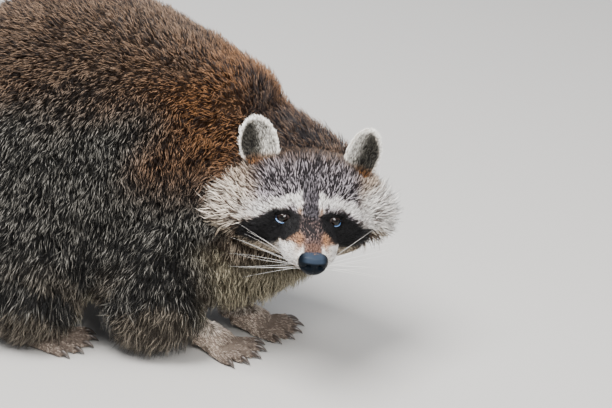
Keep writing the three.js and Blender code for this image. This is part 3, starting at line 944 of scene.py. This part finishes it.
def fill(tree, node, inputs):  # each input linked to a socket, or set to a value
    for key, value in inputs.items():
        if isinstance(value, bpy.types.NodeSocket):
            tree.links.new(value, node.inputs[key])
        else:
            node.inputs[key].default_value = value
    return node


def addNode(tree, kind, inputs, **settings):  # its first live output
    node = tree.nodes.new(kind)
    for key, value in settings.items():
        setattr(node, key, value)
    fill(tree, node, inputs)
    return next(socket for socket in node.outputs if socket.enabled)


def named(tree, name, kind):
    return addNode(tree, "GeometryNodeInputNamedAttribute", {"Name": name}, data_type=kind)


def endTree(tree, geometry, material):  # real mesh with its material, as the tree's result
    real = addNode(tree, "GeometryNodeRealizeInstances", {"Geometry": geometry})
    painted = addNode(tree, "GeometryNodeSetMaterial", {"Geometry": real, "Material": material})
    fill(tree, tree.nodes.new("NodeGroupOutput"), {"Geometry": painted})
    return tree


def runTree(tree, name, mesh, **values):  # what the tree makes of the mesh, as a plain object
    guide = addObject(name + "_guide", mesh)
    modifier = guide.modifiers.new(tree.name, "NODES")
    modifier.node_group = tree
    for item in tree.interface.items_tree:
        if item.in_out == "INPUT" and item.name in values:
            modifier[item.identifier] = values[item.name]
    made = bpy.data.meshes.new_from_object(guide.evaluated_get(bpy.context.evaluated_depsgraph_get()))
    bpy.data.objects.remove(guide)
    for k in reversed(range(len(made.materials))):
        if made.materials[k] is None:
            made.materials.pop(index=k)
    made.name = name
    made.shade_smooth()
    return addObject(name, made)


def addVectors(mesh, name, values):
    layer = mesh.attributes.new(name, "FLOAT_VECTOR", "POINT")
    layer.data.foreach_set("vector", np.asarray(values, np.float32).ravel())


def strandTree():
    tree = newTree("strands", Sides="Int", Thickness="Float", Material="Material")
    given = tree.nodes.new("NodeGroupInput").outputs
    thick = {0: named(tree, "thick", "FLOAT"), 1: given["Thickness"]}
    radius = addNode(tree, "ShaderNodeMath", thick, operation="MULTIPLY")
    path = addNode(tree, "GeometryNodeMeshToCurve", {"Mesh": given["Geometry"]})
    ring = addNode(tree, "GeometryNodeCurvePrimitiveCircle", {"Resolution": given["Sides"], "Radius": 1.0})
    tube = addNode(tree, "GeometryNodeCurveToMesh", {
        "Curve": path, "Profile Curve": ring, "Scale": radius, "Fill Caps": True,
    })
    return endTree(tree, tube, given["Material"])


strandNodes = strandTree()


def strands(name, lines, radii, edges, material):  # all lines have as many points, each with its radius
    lines, radii = np.asarray(lines, float), np.asarray(radii, float)
    number, length = lines.shape[:2]
    mesh = bpy.data.meshes.new(name + "_paths")
    index = np.arange(number * length).reshape(number, length)
    pairs = np.stack([index[:, :-1].ravel(), index[:, 1:].ravel()], 1)
    mesh.from_pydata(lines.reshape(-1, 3).tolist(), pairs.tolist(), [])
    thick = mesh.attributes.new("thick", "FLOAT", "POINT")
    thick.data.foreach_set("value", radii.ravel().astype(np.float32))
    return runTree(strandNodes, name, mesh, Sides=edges, Thickness=1.0, Material=material)


def finish(piece, slotName, *nodes):
    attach(piece, "root")
    if nodes:
        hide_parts(*nodes)
    return piece


claw = {  # millimetres from the end of the toe, the height above the sole, and the radius
    "ahead": (-4, -1, 1.5, 4.3, 6.8, 8.4), "height": (4.7, 5.3, 5.2, 4.1, 2.5, 1.0),
    "radius": (1.3, 2.1, 1.95, 1.45, 0.85, 0.2), "sides": 12,
    "toes": (0.7, 0.94, 1, 0.94, 0.7),  # how long each toe is, beside the middle one
    "colour": (0.05, 0.037, 0.03), "roughness": 0.32, "gloss": 0.3,
}


def clawLines():
    lines = []
    for name, paw in paws.items():
        low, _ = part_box(name)
        origin = np.array([low[0] + paw["from"][0] * mm, low[1] + paw["from"][1] * mm, 0])
        turn = paw["turn"]
        reach = paw["length"] - paw["toe"]
        for i, share in enumerate(claw["toes"]):
            aside = (2 - i) / 2
            toe = paw["toe"] * share + reach * 0.22
            angle = radians(aside * paw["spread"])
            line = []
            for ahead, height in zip(claw["ahead"], claw["height"]):
                x = reach * 0.78 + (toe + ahead) * cos(angle)
                y = aside * paw["wide"] * 0.78 + (toe + ahead) * sin(angle)
                place = (x * cos(turn) - y * sin(turn), x * sin(turn) + y * cos(turn), height)
                line.append(origin + np.array(place) * mm)
            lines.append(line)
    return np.array(lines)


clawPaths = clawLines()
clawRadii = np.tile(np.array(claw["radius"]) * mm, (len(clawPaths), 1))
horn = plainMaterial("claw", claw["colour"], claw["roughness"], Coat_Weight=claw["gloss"])
finish(strands("claws", clawPaths, clawRadii, claw["sides"], horn), "claw")

whisker = {  # the number on each side of the muzzle and over each eye, and their radii in millimetres
    "muzzle": 11, "radius": 0.125, "brow": 4, "browRadius": 0.12,
    "points": 12, "sides": 6, "taper": 0.8, "colour": (0.82, 0.81, 0.78), "roughness": 0.35,
}
trees = {name: surfaceTree(*shell) for name, shell in shells.items()}


def onFace(start, way):  # where a line from a place in the head meets its skin
    at = trees["head"].ray_cast(Vector(fromHead(start)), Vector(unit(way) @ headAxes))[0]
    return inHead(np.array(at))


def whiskerLines():
    lines, radii = [], []
    t = np.linspace(0, 1, whisker["points"])

    def add(root, middle, end, radius):
        line = np.outer((1 - t) ** 2, root) + np.outer(2 * t * (1 - t), middle) + np.outer(t ** 2, end)
        lines.append(fromHead(line))
        radii.append(radius * mm * (1 - t * whisker["taper"]))

    for sign in (1, -1):
        for i in range(whisker["muzzle"]):
            row = i / (whisker["muzzle"] - 1)
            way = np.array([0.15, sign, -0.15 - 0.25 * row])
            root = onFace((34 - 13 * ((i * 3) % 4) / 3, 0, -19 - 11 * row), way) - unit(way) * 0.8
            wide = 50 + 18 * dice.random()
            ahead = 24 - 10 * dice.random() + 3 * row
            end = np.array([ahead, sign * wide, -2 - 40 * row + 5 * dice.normal()])
            middle = root * 0.45 + end * 0.55 + np.array([9, 0, 6 - 3 * row + 2 * dice.normal()])
            add(root, middle, end, whisker["radius"] * (0.85 + 0.3 * dice.random()))
        for i in range(whisker["brow"]):
            root = onFace((-24, sign * (13 + 3 * i), 4), np.array([1, 0, 0.35]))
            end = root + np.array([8, sign * (9 + 5 * i), 24 - 2 * i])
            add(root, (root + end) / 2 + np.array([6, 0, -1]), end, whisker["browRadius"])
    return np.array(lines), np.array(radii)


bristle = plainMaterial("whisker", whisker["colour"], whisker["roughness"])
finish(strands("whiskers", *whiskerLines(), whisker["sides"], bristle), "whisker")


# eyes and nose

def ballMesh(name, across, rings, shape):  # a closed ball about the X axis, given its form by shape()
    turn = np.arange(across) * 2 * pi / across
    directions = [np.array([[1.0, 0, 0]])]
    for p in np.linspace(0, pi, rings + 1)[1:-1]:
        ring = (np.full(across, cos(p)), sin(p) * np.cos(turn), sin(p) * np.sin(turn))
        directions.append(np.stack(ring, 1))
    directions = np.concatenate([*directions, np.array([[-1.0, 0, 0]])])
    k, following = np.arange(across), (np.arange(across) + 1) % across
    triangles = [np.stack([np.zeros(across, int), 1 + k, 1 + following], 1)]
    for r in range(rings - 2):
        a, b = 1 + r * across, 1 + (r + 1) * across
        triangles.append(np.stack([a + k, b + k, b + following], 1))
        triangles.append(np.stack([a + k, b + following, a + following], 1))
    last = 1 + (rings - 2) * across
    triangles.append(np.stack([last + following, last + k, np.full(across, len(directions) - 1)], 1))
    points, triangles = shape(directions), np.concatenate(triangles)
    return meshOf(name, points, outward(points - points.mean(0), triangles)), directions


def paintedMaterial(name, rough, **values):  # takes its colour from the attribute named coat
    material = plainMaterial(name, (0.8, 0.8, 0.8), rough, **values)
    nodes = material.node_tree.nodes
    tone = nodes.new("ShaderNodeAttribute")
    tone.attribute_name = "coat"
    material.node_tree.links.new(tone.outputs["Color"], nodes["Principled BSDF"].inputs["Base Color"])
    return material


def addRelief(material, kind, output, scale, **depth):  # a texture's fine relief, as the shader's normal
    tree = material.node_tree
    place = tree.nodes.new("ShaderNodeTexCoord")
    texture = tree.nodes.new(kind)
    fill(tree, texture, {"Scale": scale, "Vector": place.outputs["Object"]})
    relief = tree.nodes.new("ShaderNodeBump")
    fill(tree, relief, {"Height": texture.outputs[output], **depth})
    tree.links.new(relief.outputs["Normal"], tree.nodes["Principled BSDF"].inputs["Normal"])


def finishBall(name, mesh, tone, material, slotName, node):
    addColours(mesh, "coat", tone)
    mesh.materials.append(material)
    mesh.shade_smooth()
    finish(addObject(name, mesh), slotName, node)


eye = {  # millimetres; the pupil, the iris and the cornea reach this many degrees from the middle
    "radius": 6.1, "cornea": 0.35, "corneaReach": 42, "pupil": 22, "iris": 40, "across": 64, "rings": 48,
    "pupilColour": (0.0015, 0.0015, 0.0015), "irisColour": (0.012, 0.0055, 0.003),
    "edgeColour": (0.003, 0.002, 0.002), "whiteColour": (0.03, 0.022, 0.02),
    "roughness": 0.05, "shine": 0.1, "gloss": 0.45, "glossRoughness": 0.02,
}
rim = {  # the wet edge of the lower lid
    # colour: a blue painted reflection of the sky on the wet lid
    "radius": 0.54, "points": 28, "sides": 8, "colour": (0.1, 0.2, 0.4),
    "roughness": 0.15, "gloss": 1.0, "glossRoughness": 0.05,
}


def eyeAngle(directions):
    return np.degrees(np.arccos(np.clip(directions[:, 0], -1, 1)))


def eyeTone(directions):
    angle = eyeAngle(directions)
    streak = 0.75 + 0.35 * np.sin(np.arctan2(directions[:, 2], directions[:, 1]) * 23 + angle * 0.2)
    iris = np.array(eye["irisColour"]) * streak[:, None]
    tone = np.tile(eye["pupilColour"], (len(angle), 1))
    tone = blend(tone, iris, smooth(eye["pupil"] - 2, eye["pupil"] + 2, angle))
    tone = blend(tone, np.array(eye["edgeColour"]), smooth(eye["iris"] - 7, eye["iris"], angle))
    return blend(tone, np.array(eye["whiteColour"]), smooth(eye["iris"] + 4, eye["iris"] + 10, angle))


def addEye(side):
    axes = eyeAxes(side)

    def eyeShape(directions):
        radius = eye["radius"] + eye["cornea"] * (1 - smooth(0, eye["corneaReach"], eyeAngle(directions)))
        return eyeMiddle[side] + directions * radius[:, None] * mm @ axes

    mesh, directions = ballMesh("eyeball_" + side, eye["across"], eye["rings"], eyeShape)
    finishBall("eyeball_" + side, mesh, eyeTone(directions), eyeMaterial, "eye", "eye_" + side)
    # the wet edge of the lower lid, painted blue as a reflection of the sky
    turn = np.linspace(pi * 1.08, pi * 2.1, rim["points"])
    x = lid["wide"] * 0.98 * np.cos(turn)
    y = lidHeight(x, np.sin(turn) > 0) * 0.92 * np.sin(turn) - lid["slant"] * x
    way = np.stack([np.sqrt(np.maximum(lid["ball"] ** 2 - x ** 2 - y ** 2, 0.2)), x, y], 1)
    line = eyeMiddle[side] + unit(way) * (lid["ball"] + 0.3) * mm @ axes
    thick = np.sin(np.linspace(0.06, pi - 0.06, rim["points"])) ** 0.7
    thick = rim["radius"] * mm * (0.35 + 0.65 * thick)
    finish(strands("wet_rim_reflection_" + side, [line], [thick], rim["sides"], lidReflectionMaterial), "eye", "eye_" + side)


eyeMaterial = paintedMaterial(
    "eye", eye["roughness"], Specular_IOR_Level=eye["shine"],
    Coat_Weight=eye["gloss"], Coat_Roughness=eye["glossRoughness"],
)
lidReflectionMaterial = plainMaterial(
    "wet_rim_reflection", rim["colour"], rim["roughness"],
    Coat_Weight=rim["gloss"], Coat_Roughness=rim["glossRoughness"],
)
for side in sides:
    addEye(side)

nose = {  # millimetres, in the head
    "radii": (8.8, 12.0, 10.7), "centre": (43.2, 0, -19.4), "flat": 0.5, "across": 128, "rings": 96,
    "nostril": 2.6, "slit": 1.3, "groove": 0.5, "wing": 0.7,  # how deep each is cut; the wings swell
    # sheenColour: the bluish grey painted on the nose's top, a painted reflection of the sky
    "colour": (0.003, 0.005, 0.008), "sheenColour": (0.026, 0.037, 0.056), "roughness": 0.25, "shine": 0.06,
    "pebbles": 1300, "pebbleDepth": 0.00012, "pebbleStrength": 0.6,
    "bareAbove": (9.1, 11.0, 5.9), "bareBelow": (9.4, 11.2, 9.6),  # no hair grows within these reaches
}


def noseShape(directions):
    x, y, z = directions.T
    top = np.where(z > nose["flat"], nose["flat"] + (z - nose["flat"]) * 0.45, z)
    sideways = np.abs(y)
    depth = np.exp(-(((sideways - 0.4) / 0.17) ** 2 + ((z + 0.12) / 0.17) ** 2))
    depth = nose["nostril"] * depth * (x > 0)
    slit = smooth(0.4, 0.55, sideways) * smooth(0.95, 0.8, sideways)
    slitLine = np.exp(-(((z + 0.2 + 0.25 * (sideways - 0.4)) / 0.09) ** 2))
    depth = depth + nose["slit"] * slit * slitLine * (x > -0.3)
    depth = depth + nose["groove"] * np.exp(-((y / 0.05) ** 2)) * smooth(-0.02, -0.25, z) * (x > 0)
    swell = nose["wing"] * np.exp(-(((sideways - 0.62) / 0.25) ** 2 + ((z - 0.16) / 0.22) ** 2))
    shaped = np.stack([x, y, top], 1) * (np.array(nose["radii"]) + (swell - depth)[:, None])
    shaped[:, 1] *= 1 - 0.03 * smooth(0, -0.9, z)
    return fromHead(np.array(nose["centre"]) + shaped)


noseMesh, directions = ballMesh("nose_pad", nose["across"], nose["rings"], noseShape)
# the nose's top is painted bluish grey: a painted reflection of the sky on the wet leather
paintedNoseSheen = smooth(0.1, 0.24, directions[:, 2]) * smooth(0.88, 0.4, np.abs(directions[:, 1]))
noseTone = blend(np.array(nose["colour"]), np.array(nose["sheenColour"]), paintedNoseSheen)
noseMaterial = paintedMaterial("nose", nose["roughness"], Specular_IOR_Level=nose["shine"])
addRelief(
    noseMaterial, "ShaderNodeTexVoronoi", "Distance", nose["pebbles"],
    Distance=nose["pebbleDepth"], Strength=nose["pebbleStrength"],
)
finishBall("nose_pad", noseMesh, noseTone, noseMaterial, "nose", "nose")
print("claws, whiskers, eyes and nose made")


# the coat

coat = {  # tufts a square centimetre, and their length, rise and width in millimetres, on each part
    "trunk": (73, 17.6, 15.2, 0.56), "neck": (69, 19.8, 14.4, 0.6), "head": (60, 12, 5, 1.2),
    "tail": (44, 31, 19, 1.0), "upper_arm": (66, 20, 13, 0.62), "forearm": (90, 9, 3, 0.7),
    "forepaw": (85, 4.6, 0.9, 0.75), "thigh": (64, 20, 13, 0.62), "shank": (90, 9, 3, 0.7),
    "hindpaw": (85, 4.6, 0.9, 0.75), "ear": (190, 6, 1.8, 0.6),
}


def headCoat(local):  # the same on the head, from place to place
    a, b, c = local.T
    depth = headDepth(local) / mm
    cheek = smooth(28, 46, np.abs(b)) * bump(-16, 22, c)
    length = 4.6 + 1.55 * np.maximum(depth - 1.6, 0)
    length = length + 3 * smooth(30, 60, np.abs(b))
    length = length + 9 * cheek
    length = length - 0.8 * smooth(6, 20, a)
    rise = 1.0 + 0.93 * np.maximum(depth - 1.2, 0)
    rise = (rise + 2.5 * cheek) * (1 - 0.16 * smooth(30, 60, b) + 0.12 * smooth(30, 60, -b))
    width = 0.5 + 0.02 * np.maximum(length - 5, 0)
    number = 320 - 225 * smooth(4.5, 20, length)
    return np.stack([number, length, rise, width], 1)


fringes = {  # millimetres at the upper legs' hems, the belly and the chest, with fewer tufts underneath
    "longer": (9, 10, 6), "higher": (3, 5, 8), "fewer": 0.32,
}


def coatOfSkin():
    x, _, z = skin["points"].T
    under, part = -skin["normals"][:, 2], skin["part"]
    values = skin["share"] @ np.array([coat[p] for p in parts])
    values[:, 0] *= 1 - fringes["fewer"] * smooth(0.35, 0.8, under)
    hem = smooth(0.07, 0.03, z) * isPart(part, "upper_arm", "thigh")
    belly = isPart(part, "trunk") * smooth(0.075, 0.05, z) * smooth(0.85, 0.4, under)
    chest = smooth(0.15, 0.18, x) * smooth(0.245, 0.205, x) * smooth(0.13, 0.1, z)
    chest = chest * isPart(part, "trunk", "neck")
    below = smooth(0.1, 0.5, under)
    for k, (atHem, atBelly, atChest) in enumerate((fringes["longer"], fringes["higher"]), 1):
        values[:, k] += atHem * hem + atBelly * belly + atChest * chest * below
    onHead = isPart(part, "head")
    values[onHead] = headCoat(inHead(skin["points"]))[onHead]
    return relaxed(values, skin["edges"], passes["coat"])


skin["coat"] = coatOfSkin()


def hiddenInside(points, own, margin=0.8 * mm):  # which points lie inside another shell
    hidden = np.zeros(len(points), bool)
    for name, tree in trees.items():
        low, high = shells[name][0].min(0), shells[name][0].max(0)
        near = (points > low).all(1) & (points < high).all(1) & ~isShell(own, name) & ~hidden
        for i in np.flatnonzero(near):
            at, normal, _, _ = tree.find_nearest(Vector(points[i]))
            hidden[i] = (Vector(points[i]) - at).dot(normal) < -margin
    return hidden


bare = {  # millimetres within which no tuft grows
    "eye": 7.35, "opening": 1.12,  # from an eye's middle, inside this share of the lids' opening
    "claw": 2.7, "ground": 1.2, "sole": 12,
}


def growsHere(roots):  # not inside another part, on the eyes or the nose, or under the soles
    point = roots["point"]
    keep = ~hiddenInside(point, roots["shell"])
    for s in sides:
        local, far, opening = aroundEye(point, s)
        keep &= ~((far < bare["eye"]) & (opening < bare["opening"]) & (local[:, 0] > 0.2 * far))
    # nor from the body through the face
    local = inHead(point)
    inFace = (local[:, 0] > -34) & (np.abs(local[:, 1]) < 46) & (local[:, 2] > -44)
    keep &= ~(inFace & isShell(roots["shell"], "body"))
    local = local - np.array(nose["centre"])
    reach = np.where(local[:, 2:3] > 0, np.array(nose["bareAbove"]), np.array(nose["bareBelow"]))
    keep &= ~(np.linalg.norm(local / reach, axis=1) < 1)
    clawTree = pointTree(clawPaths[:, 1:].reshape(-1, 3))
    for i in np.flatnonzero(isPart(roots["part"], "forepaw", "hindpaw")):
        keep[i] &= clawTree.find(Vector(point[i]))[2] > bare["claw"] * mm
    onSole = (roots["normal"][:, 2] < -0.5) & (point[:, 2] < bare["sole"] * mm)
    return keep & (point[:, 2] > bare["ground"] * mm) & ~onSole


def sampleRoots():
    faces = skin["faces"]
    area = np.linalg.norm(faceCross(skin["points"], faces), axis=1) / 2
    wanted = area * 1e4 * skin["coat"][faces, 0].mean(1)
    total = int(wanted.sum())
    chosen = dice.choice(len(faces), total, p=wanted / wanted.sum())
    u, v = dice.random(total), dice.random(total)
    flip = u + v > 1
    u, v = np.where(flip, 1 - u, u), np.where(flip, 1 - v, v)
    corners = np.stack([1 - u - v, u, v], 1)

    def mixed(values):
        return (values[faces[chosen]] * corners[..., None]).sum(1)

    nearest = faces[chosen, corners.argmax(1)]
    roots = {
        "point": mixed(skin["points"]), "normal": unit(mixed(skin["normals"])), "lie": mixed(skin["lie"]),
        "coat": mixed(skin["coat"]), "part": skin["part"][nearest], "shell": skin["shell"][nearest],
        "uv": (skin["uv"][chosen] * corners[..., None]).sum(1),
    }
    keep = growsHere(roots)
    return {key: value[keep] for key, value in roots.items()}


roots = sampleRoots()
count = len(roots["point"])
print("tufts:", count)


comb = {
    "length": (0.8, 0.4), "lift": (0.62, 0.5), "width": (0.75, 0.5),  # the least, and what chance adds
    "twist": 0.2, "longTwist": 0.22,  # how far the tufts turn aside, in radians, and long ones more
    "locks": 0.1, "pull": (0.25, 0.5), "along": (0.2, 0.6, 1),  # in short and long hair; from root to tip
    "clear": (0.25, 0.4, 0.35),  # millimetres above the skin of the face, from root to tip
    "earRoom": 11, "flattened": 0.12,
}


def chance(least, more):
    return least + more * dice.random(count)


def pathsOf(point, normal, lie, length, rise, twist, lift):
    across = np.cross(normal, lie)
    heading = unit(lie * np.cos(twist)[:, None] + across * np.sin(twist)[:, None])
    run = np.sqrt(np.maximum(length ** 2 - rise ** 2, (0.35 * length) ** 2))
    stations = []
    for t in (0, 0.36, 0.74, 1.0):
        up = (1 - (1 - t) ** 2) * rise * lift
        ahead = run * (0.72 * t + 0.28 * t * t)
        stations.append(point + normal * (up - 0.5 * mm)[:, None] + heading * ahead[:, None])
    return np.stack(stations, 1)


def combed():
    point, normal = roots["point"], roots["normal"]
    _, length, rise, width = roots["coat"].T
    lie = unit(roots["lie"] - normal * (roots["lie"] * normal).sum(1, keepdims=True))
    isLong = smooth(8, 20, length)
    length = length * mm * chance(*comb["length"])
    lift = chance(*comb["lift"]) + 0.12 * waves(point, 0.03, 8)
    twist = dice.normal(size=count) * (comb["twist"] + comb["longTwist"] * isLong)
    twist = twist + 0.22 * waves(point, 0.024, 9)
    paths = pathsOf(point, normal, lie, length, rise * mm, twist, lift)
    # tufts lean towards the tip of the lock that they belong to
    leaders = np.flatnonzero(dice.random(count) < comb["locks"])
    tree = pointTree(point[leaders])
    lock = leaders[np.array([tree.find(Vector(p))[1] for p in point])]
    short, long = comb["pull"]
    pull = (long * isLong + short * (1 - isLong)) * (0.5 + 0.7 * dice.random(count))
    pull = (pull * (np.linalg.norm(point - point[lock], axis=1) < length))[:, None]
    for k in (3, 2, 1):
        paths[:, k] += (paths[lock, k] - paths[:, k]) * pull * comb["along"][k - 1]
    # short hair follows the face's curves, and never sinks into it
    for i in np.flatnonzero(isPart(roots["part"], "head")):
        for k, clear in enumerate(comb["clear"], 1):
            at, up, _, _ = trees["head"].find_nearest(Vector(paths[i, k]))
            low = clear * mm - (Vector(paths[i, k]) - at).dot(up)
            if low > 0:
                paths[i, k] += np.array(up) * low
    paths[..., 2] = np.maximum(paths[..., 2], 0.5 * mm)
    # what would stand through an ear is pressed flat
    through = np.zeros(count, bool)
    room = np.array([comb["earRoom"], ear["wide"] + 1, ear["tall"] + 1])
    for s in sides:
        local = inEar(paths[:, 1:], s) / room
        through |= (np.linalg.norm(local, axis=2) < 1).any(1) & ~isPart(roots["part"], "ear")
    start = paths[through, :1]
    paths[through, 1:] = start + (paths[through, 1:] - start) * comb["flattened"]
    return paths, width * mm * chance(*comb["width"]), lock


paths, widths, locks = combed()
print("combed")

grizzle = {  # how the tufts differ in colour
    "waves": (0.03, 0.1), "locks": (0.12, 0.2),  # in the share of pale ones, on the head and elsewhere
    "headShade": (0.9, 0.3), "shade": (0.75, 0.5),  # the least, and what chance adds
    "soft": 0.12, "band": 0.8, "dark": 0.8,
}


def coloured():  # dark roots, a pale band before the tip on most tufts, and dark guard hairs among them
    outer = roots["point"] + (paths[:, 3] - paths[:, 0]) * 0.35
    root, middle, tip, pale = markings(outer, roots["normal"], roots["part"], roots["shell"])
    onHead = isPart(roots["part"], "head")
    pale = pale + np.where(onHead, *grizzle["waves"]) * waves(roots["point"], 0.02, 12)
    pale = pale + np.where(onHead, *grizzle["locks"]) * (dice.random(count)[locks] - 0.5)
    bright = smooth(-grizzle["soft"], grizzle["soft"], pale - dice.random(count))[:, None]
    bright = bright * (0.75 + 0.25 * dice.random(count))[:, None]
    shade = np.where(onHead, chance(*grizzle["headShade"]), chance(*grizzle["shade"]))[:, None]
    band = (middle + (tip - middle) * bright * grizzle["band"]) * shade
    end = (middle * grizzle["dark"] + (tip - middle * grizzle["dark"]) * bright) * shade
    thickest = np.clip(0.25 + 0.6 * bright[:, 0] + 0.3 * dice.normal(size=count), 0, 1)
    return deepened(np.stack([root, band, end], 1)), thickest


tuftColours, bellies = coloured()  # bellies: how near the tip each tuft is thickest


tuft = {"triangles": 6, "flatness": 0.6, "patch": 0.003}  # patch: how much of the UV map each takes
pieceTriangles = 190000


def tuftTree():  # on each point a spindle with three sides, from its root to its tip
    tree = newTree("tufts", Flatness="Float", Patch="Float", Material="Material")
    given = tree.nodes.new("NodeGroupInput").outputs

    def scaled(vector, factor):
        return addNode(tree, "ShaderNodeVectorMath", {0: vector, "Scale": factor}, operation="SCALE")

    def added(first, second):
        return addNode(tree, "ShaderNodeVectorMath", {0: first, 1: second}, operation="ADD")

    def vector(name):
        return named(tree, name, "FLOAT_VECTOR")

    spindle = addNode(tree, "GeometryNodeMeshUVSphere", {"Segments": 3, "Rings": 2, "Radius": 1.0})
    onRoots = {"Points": given["Geometry"], "Instance": spindle}
    placed = addNode(tree, "GeometryNodeInstanceOnPoints", onRoots)
    real = addNode(tree, "GeometryNodeRealizeInstances", {"Geometry": placed})
    index = addNode(tree, "GeometryNodeInputIndex", {})
    index = addNode(tree, "FunctionNodeIntegerMath", {0: index, 1: 5}, operation="MODULO")
    kept = tree.nodes.new("GeometryNodeCaptureAttribute")
    kept.capture_items.new("INT", "Station")
    fill(tree, kept, {"Geometry": real, "Station": index})
    station = kept.outputs["Station"]

    def byStation(kind, values):  # the tip, the three points round the middle, the root
        node = tree.nodes.new("GeometryNodeIndexSwitch")
        node.data_type = kind
        while len(node.index_switch_items) < len(values):
            node.index_switch_items.new()
        fill(tree, node, {"Index": station, **{k + 1: value for k, value in enumerate(values)}})
        return node.outputs[0]

    across, lift = vector("tuftAcross"), scaled(vector("tuftLift"), given["Flatness"])
    middle = [
        added(vector("tuftMiddle"), added(scaled(across, cos(angle)), scaled(lift, sin(angle))))
        for angle in (pi / 2 + k * 2 * pi / 3 for k in range(3))
    ]
    stations = byStation("VECTOR", [vector("tuftTip"), *middle, vector("tuftStart")])
    spindles = {"Geometry": kept.outputs["Geometry"], "Position": stations}
    shaped = addNode(tree, "GeometryNodeSetPosition", spindles)
    tones = [named(tree, name, "FLOAT_COLOR") for name in ("tuftEndTone", "tuftBandTone", "tuftRootTone")]
    painted = addNode(tree, "GeometryNodeStoreNamedAttribute", {
        "Geometry": shaped, "Name": "coat",
        "Value": byStation("RGBA", [tones[0], tones[1], tones[1], tones[1], tones[2]]),
    }, data_type="FLOAT_COLOR", domain="POINT")
    corners = byStation("VECTOR", [(0.5, 1, 0), (0, 0.6, 0), (0.5, 0.6, 0), (1, 0.6, 0), (0.5, 0, 0)])
    patched = addNode(tree, "GeometryNodeStoreNamedAttribute", {
        "Geometry": painted, "Name": "OFBake",
        "Value": added(vector("tuftPlace"), scaled(corners, given["Patch"])),
    }, data_type="FLOAT2", domain="CORNER")
    spent = {"Geometry": patched, "Name": "tuft*"}
    clean = addNode(tree, "GeometryNodeRemoveAttribute", spent, pattern_mode="WILDCARD")
    return endTree(tree, clean, given["Material"])


tuftNodes = tuftTree()


def tufts(name, chosen, material):
    line = paths[chosen]
    heading = unit(line[:, 3] - line[:, 0])
    across = unit(np.cross(roots["normal"][chosen], heading))
    up = unit(np.cross(heading, across))
    half = widths[chosen, None] / 2
    share = bellies[chosen, None]
    mesh = bpy.data.meshes.new(name + "_roots")
    mesh.vertices.add(len(chosen))
    mesh.vertices.foreach_set("co", line[:, 0].astype(np.float32).ravel())
    for label, values in {
        "tuftStart": line[:, 0], "tuftMiddle": line[:, 1] * (1 - share) + line[:, 2] * share,
        "tuftTip": line[:, 3], "tuftAcross": across * half, "tuftLift": up * half,
        "tuftPlace": np.column_stack([roots["uv"][chosen], np.zeros(len(chosen))]),
    }.items():
        addVectors(mesh, label, values)
    for k, label in enumerate(("tuftRootTone", "tuftBandTone", "tuftEndTone")):
        addColours(mesh, label, np.clip(tuftColours[chosen, k], 0, 1))
    return runTree(
        tuftNodes, name, mesh, Flatness=tuft["flatness"], Patch=tuft["patch"], Material=material
    )


furRoughness = {"coat": 0.5, "neck_fur": 0.5, "head_fur": 0.55, "ear_fur": 0.6, "paw_fur": 0.6}
furShine = 0.3
materials = {}
for name, rough in furRoughness.items():
    materials[name] = paintedMaterial(name, rough, Specular_IOR_Level=furShine)
hide = {"roughness": 0.8, "shine": 0.1, "grain": 900, "grainDepth": 0.0006}
skinMaterial = paintedMaterial("skin", hide["roughness"], Specular_IOR_Level=hide["shine"])
addRelief(skinMaterial, "ShaderNodeTexNoise", "Fac", hide["grain"], Distance=hide["grainDepth"])
skinMesh.materials.append(skinMaterial)
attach(skinObject, "root")
fleshNodes = [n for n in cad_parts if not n.startswith("eye") and n != "nose"]
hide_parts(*fleshNodes)

groups = {  # the slot and the parts of each stretch of coat
    "trunk": ("coat", ["trunk"]), "neck": ("neck_fur", ["neck"]), "head": ("head_fur", ["head"]),
    "tail": ("coat", ["tail"]), "arm": ("coat", ["upper_arm"]), "thigh": ("coat", ["thigh"]),
    "lower_leg": ("paw_fur", ["forearm", "shank"]), "paw": ("paw_fur", ["forepaw", "hindpaw"]),
    "ear": ("ear_fur", ["ear"]),
}
most = pieceTriangles // tuft["triangles"]
for name, (slotName, members) in groups.items():
    mine = np.flatnonzero(isPart(roots["part"], *members))
    mine = mine[np.argsort(roots["point"][mine, 0], kind="stable")]
    for k, chosen in enumerate(np.array_split(mine, int(np.ceil(len(mine) / most)))):
        finish(tufts(f"coat_{name}_{k}", chosen, materials[slotName]), slotName)
print("coat:", count * tuft["triangles"], "triangles")
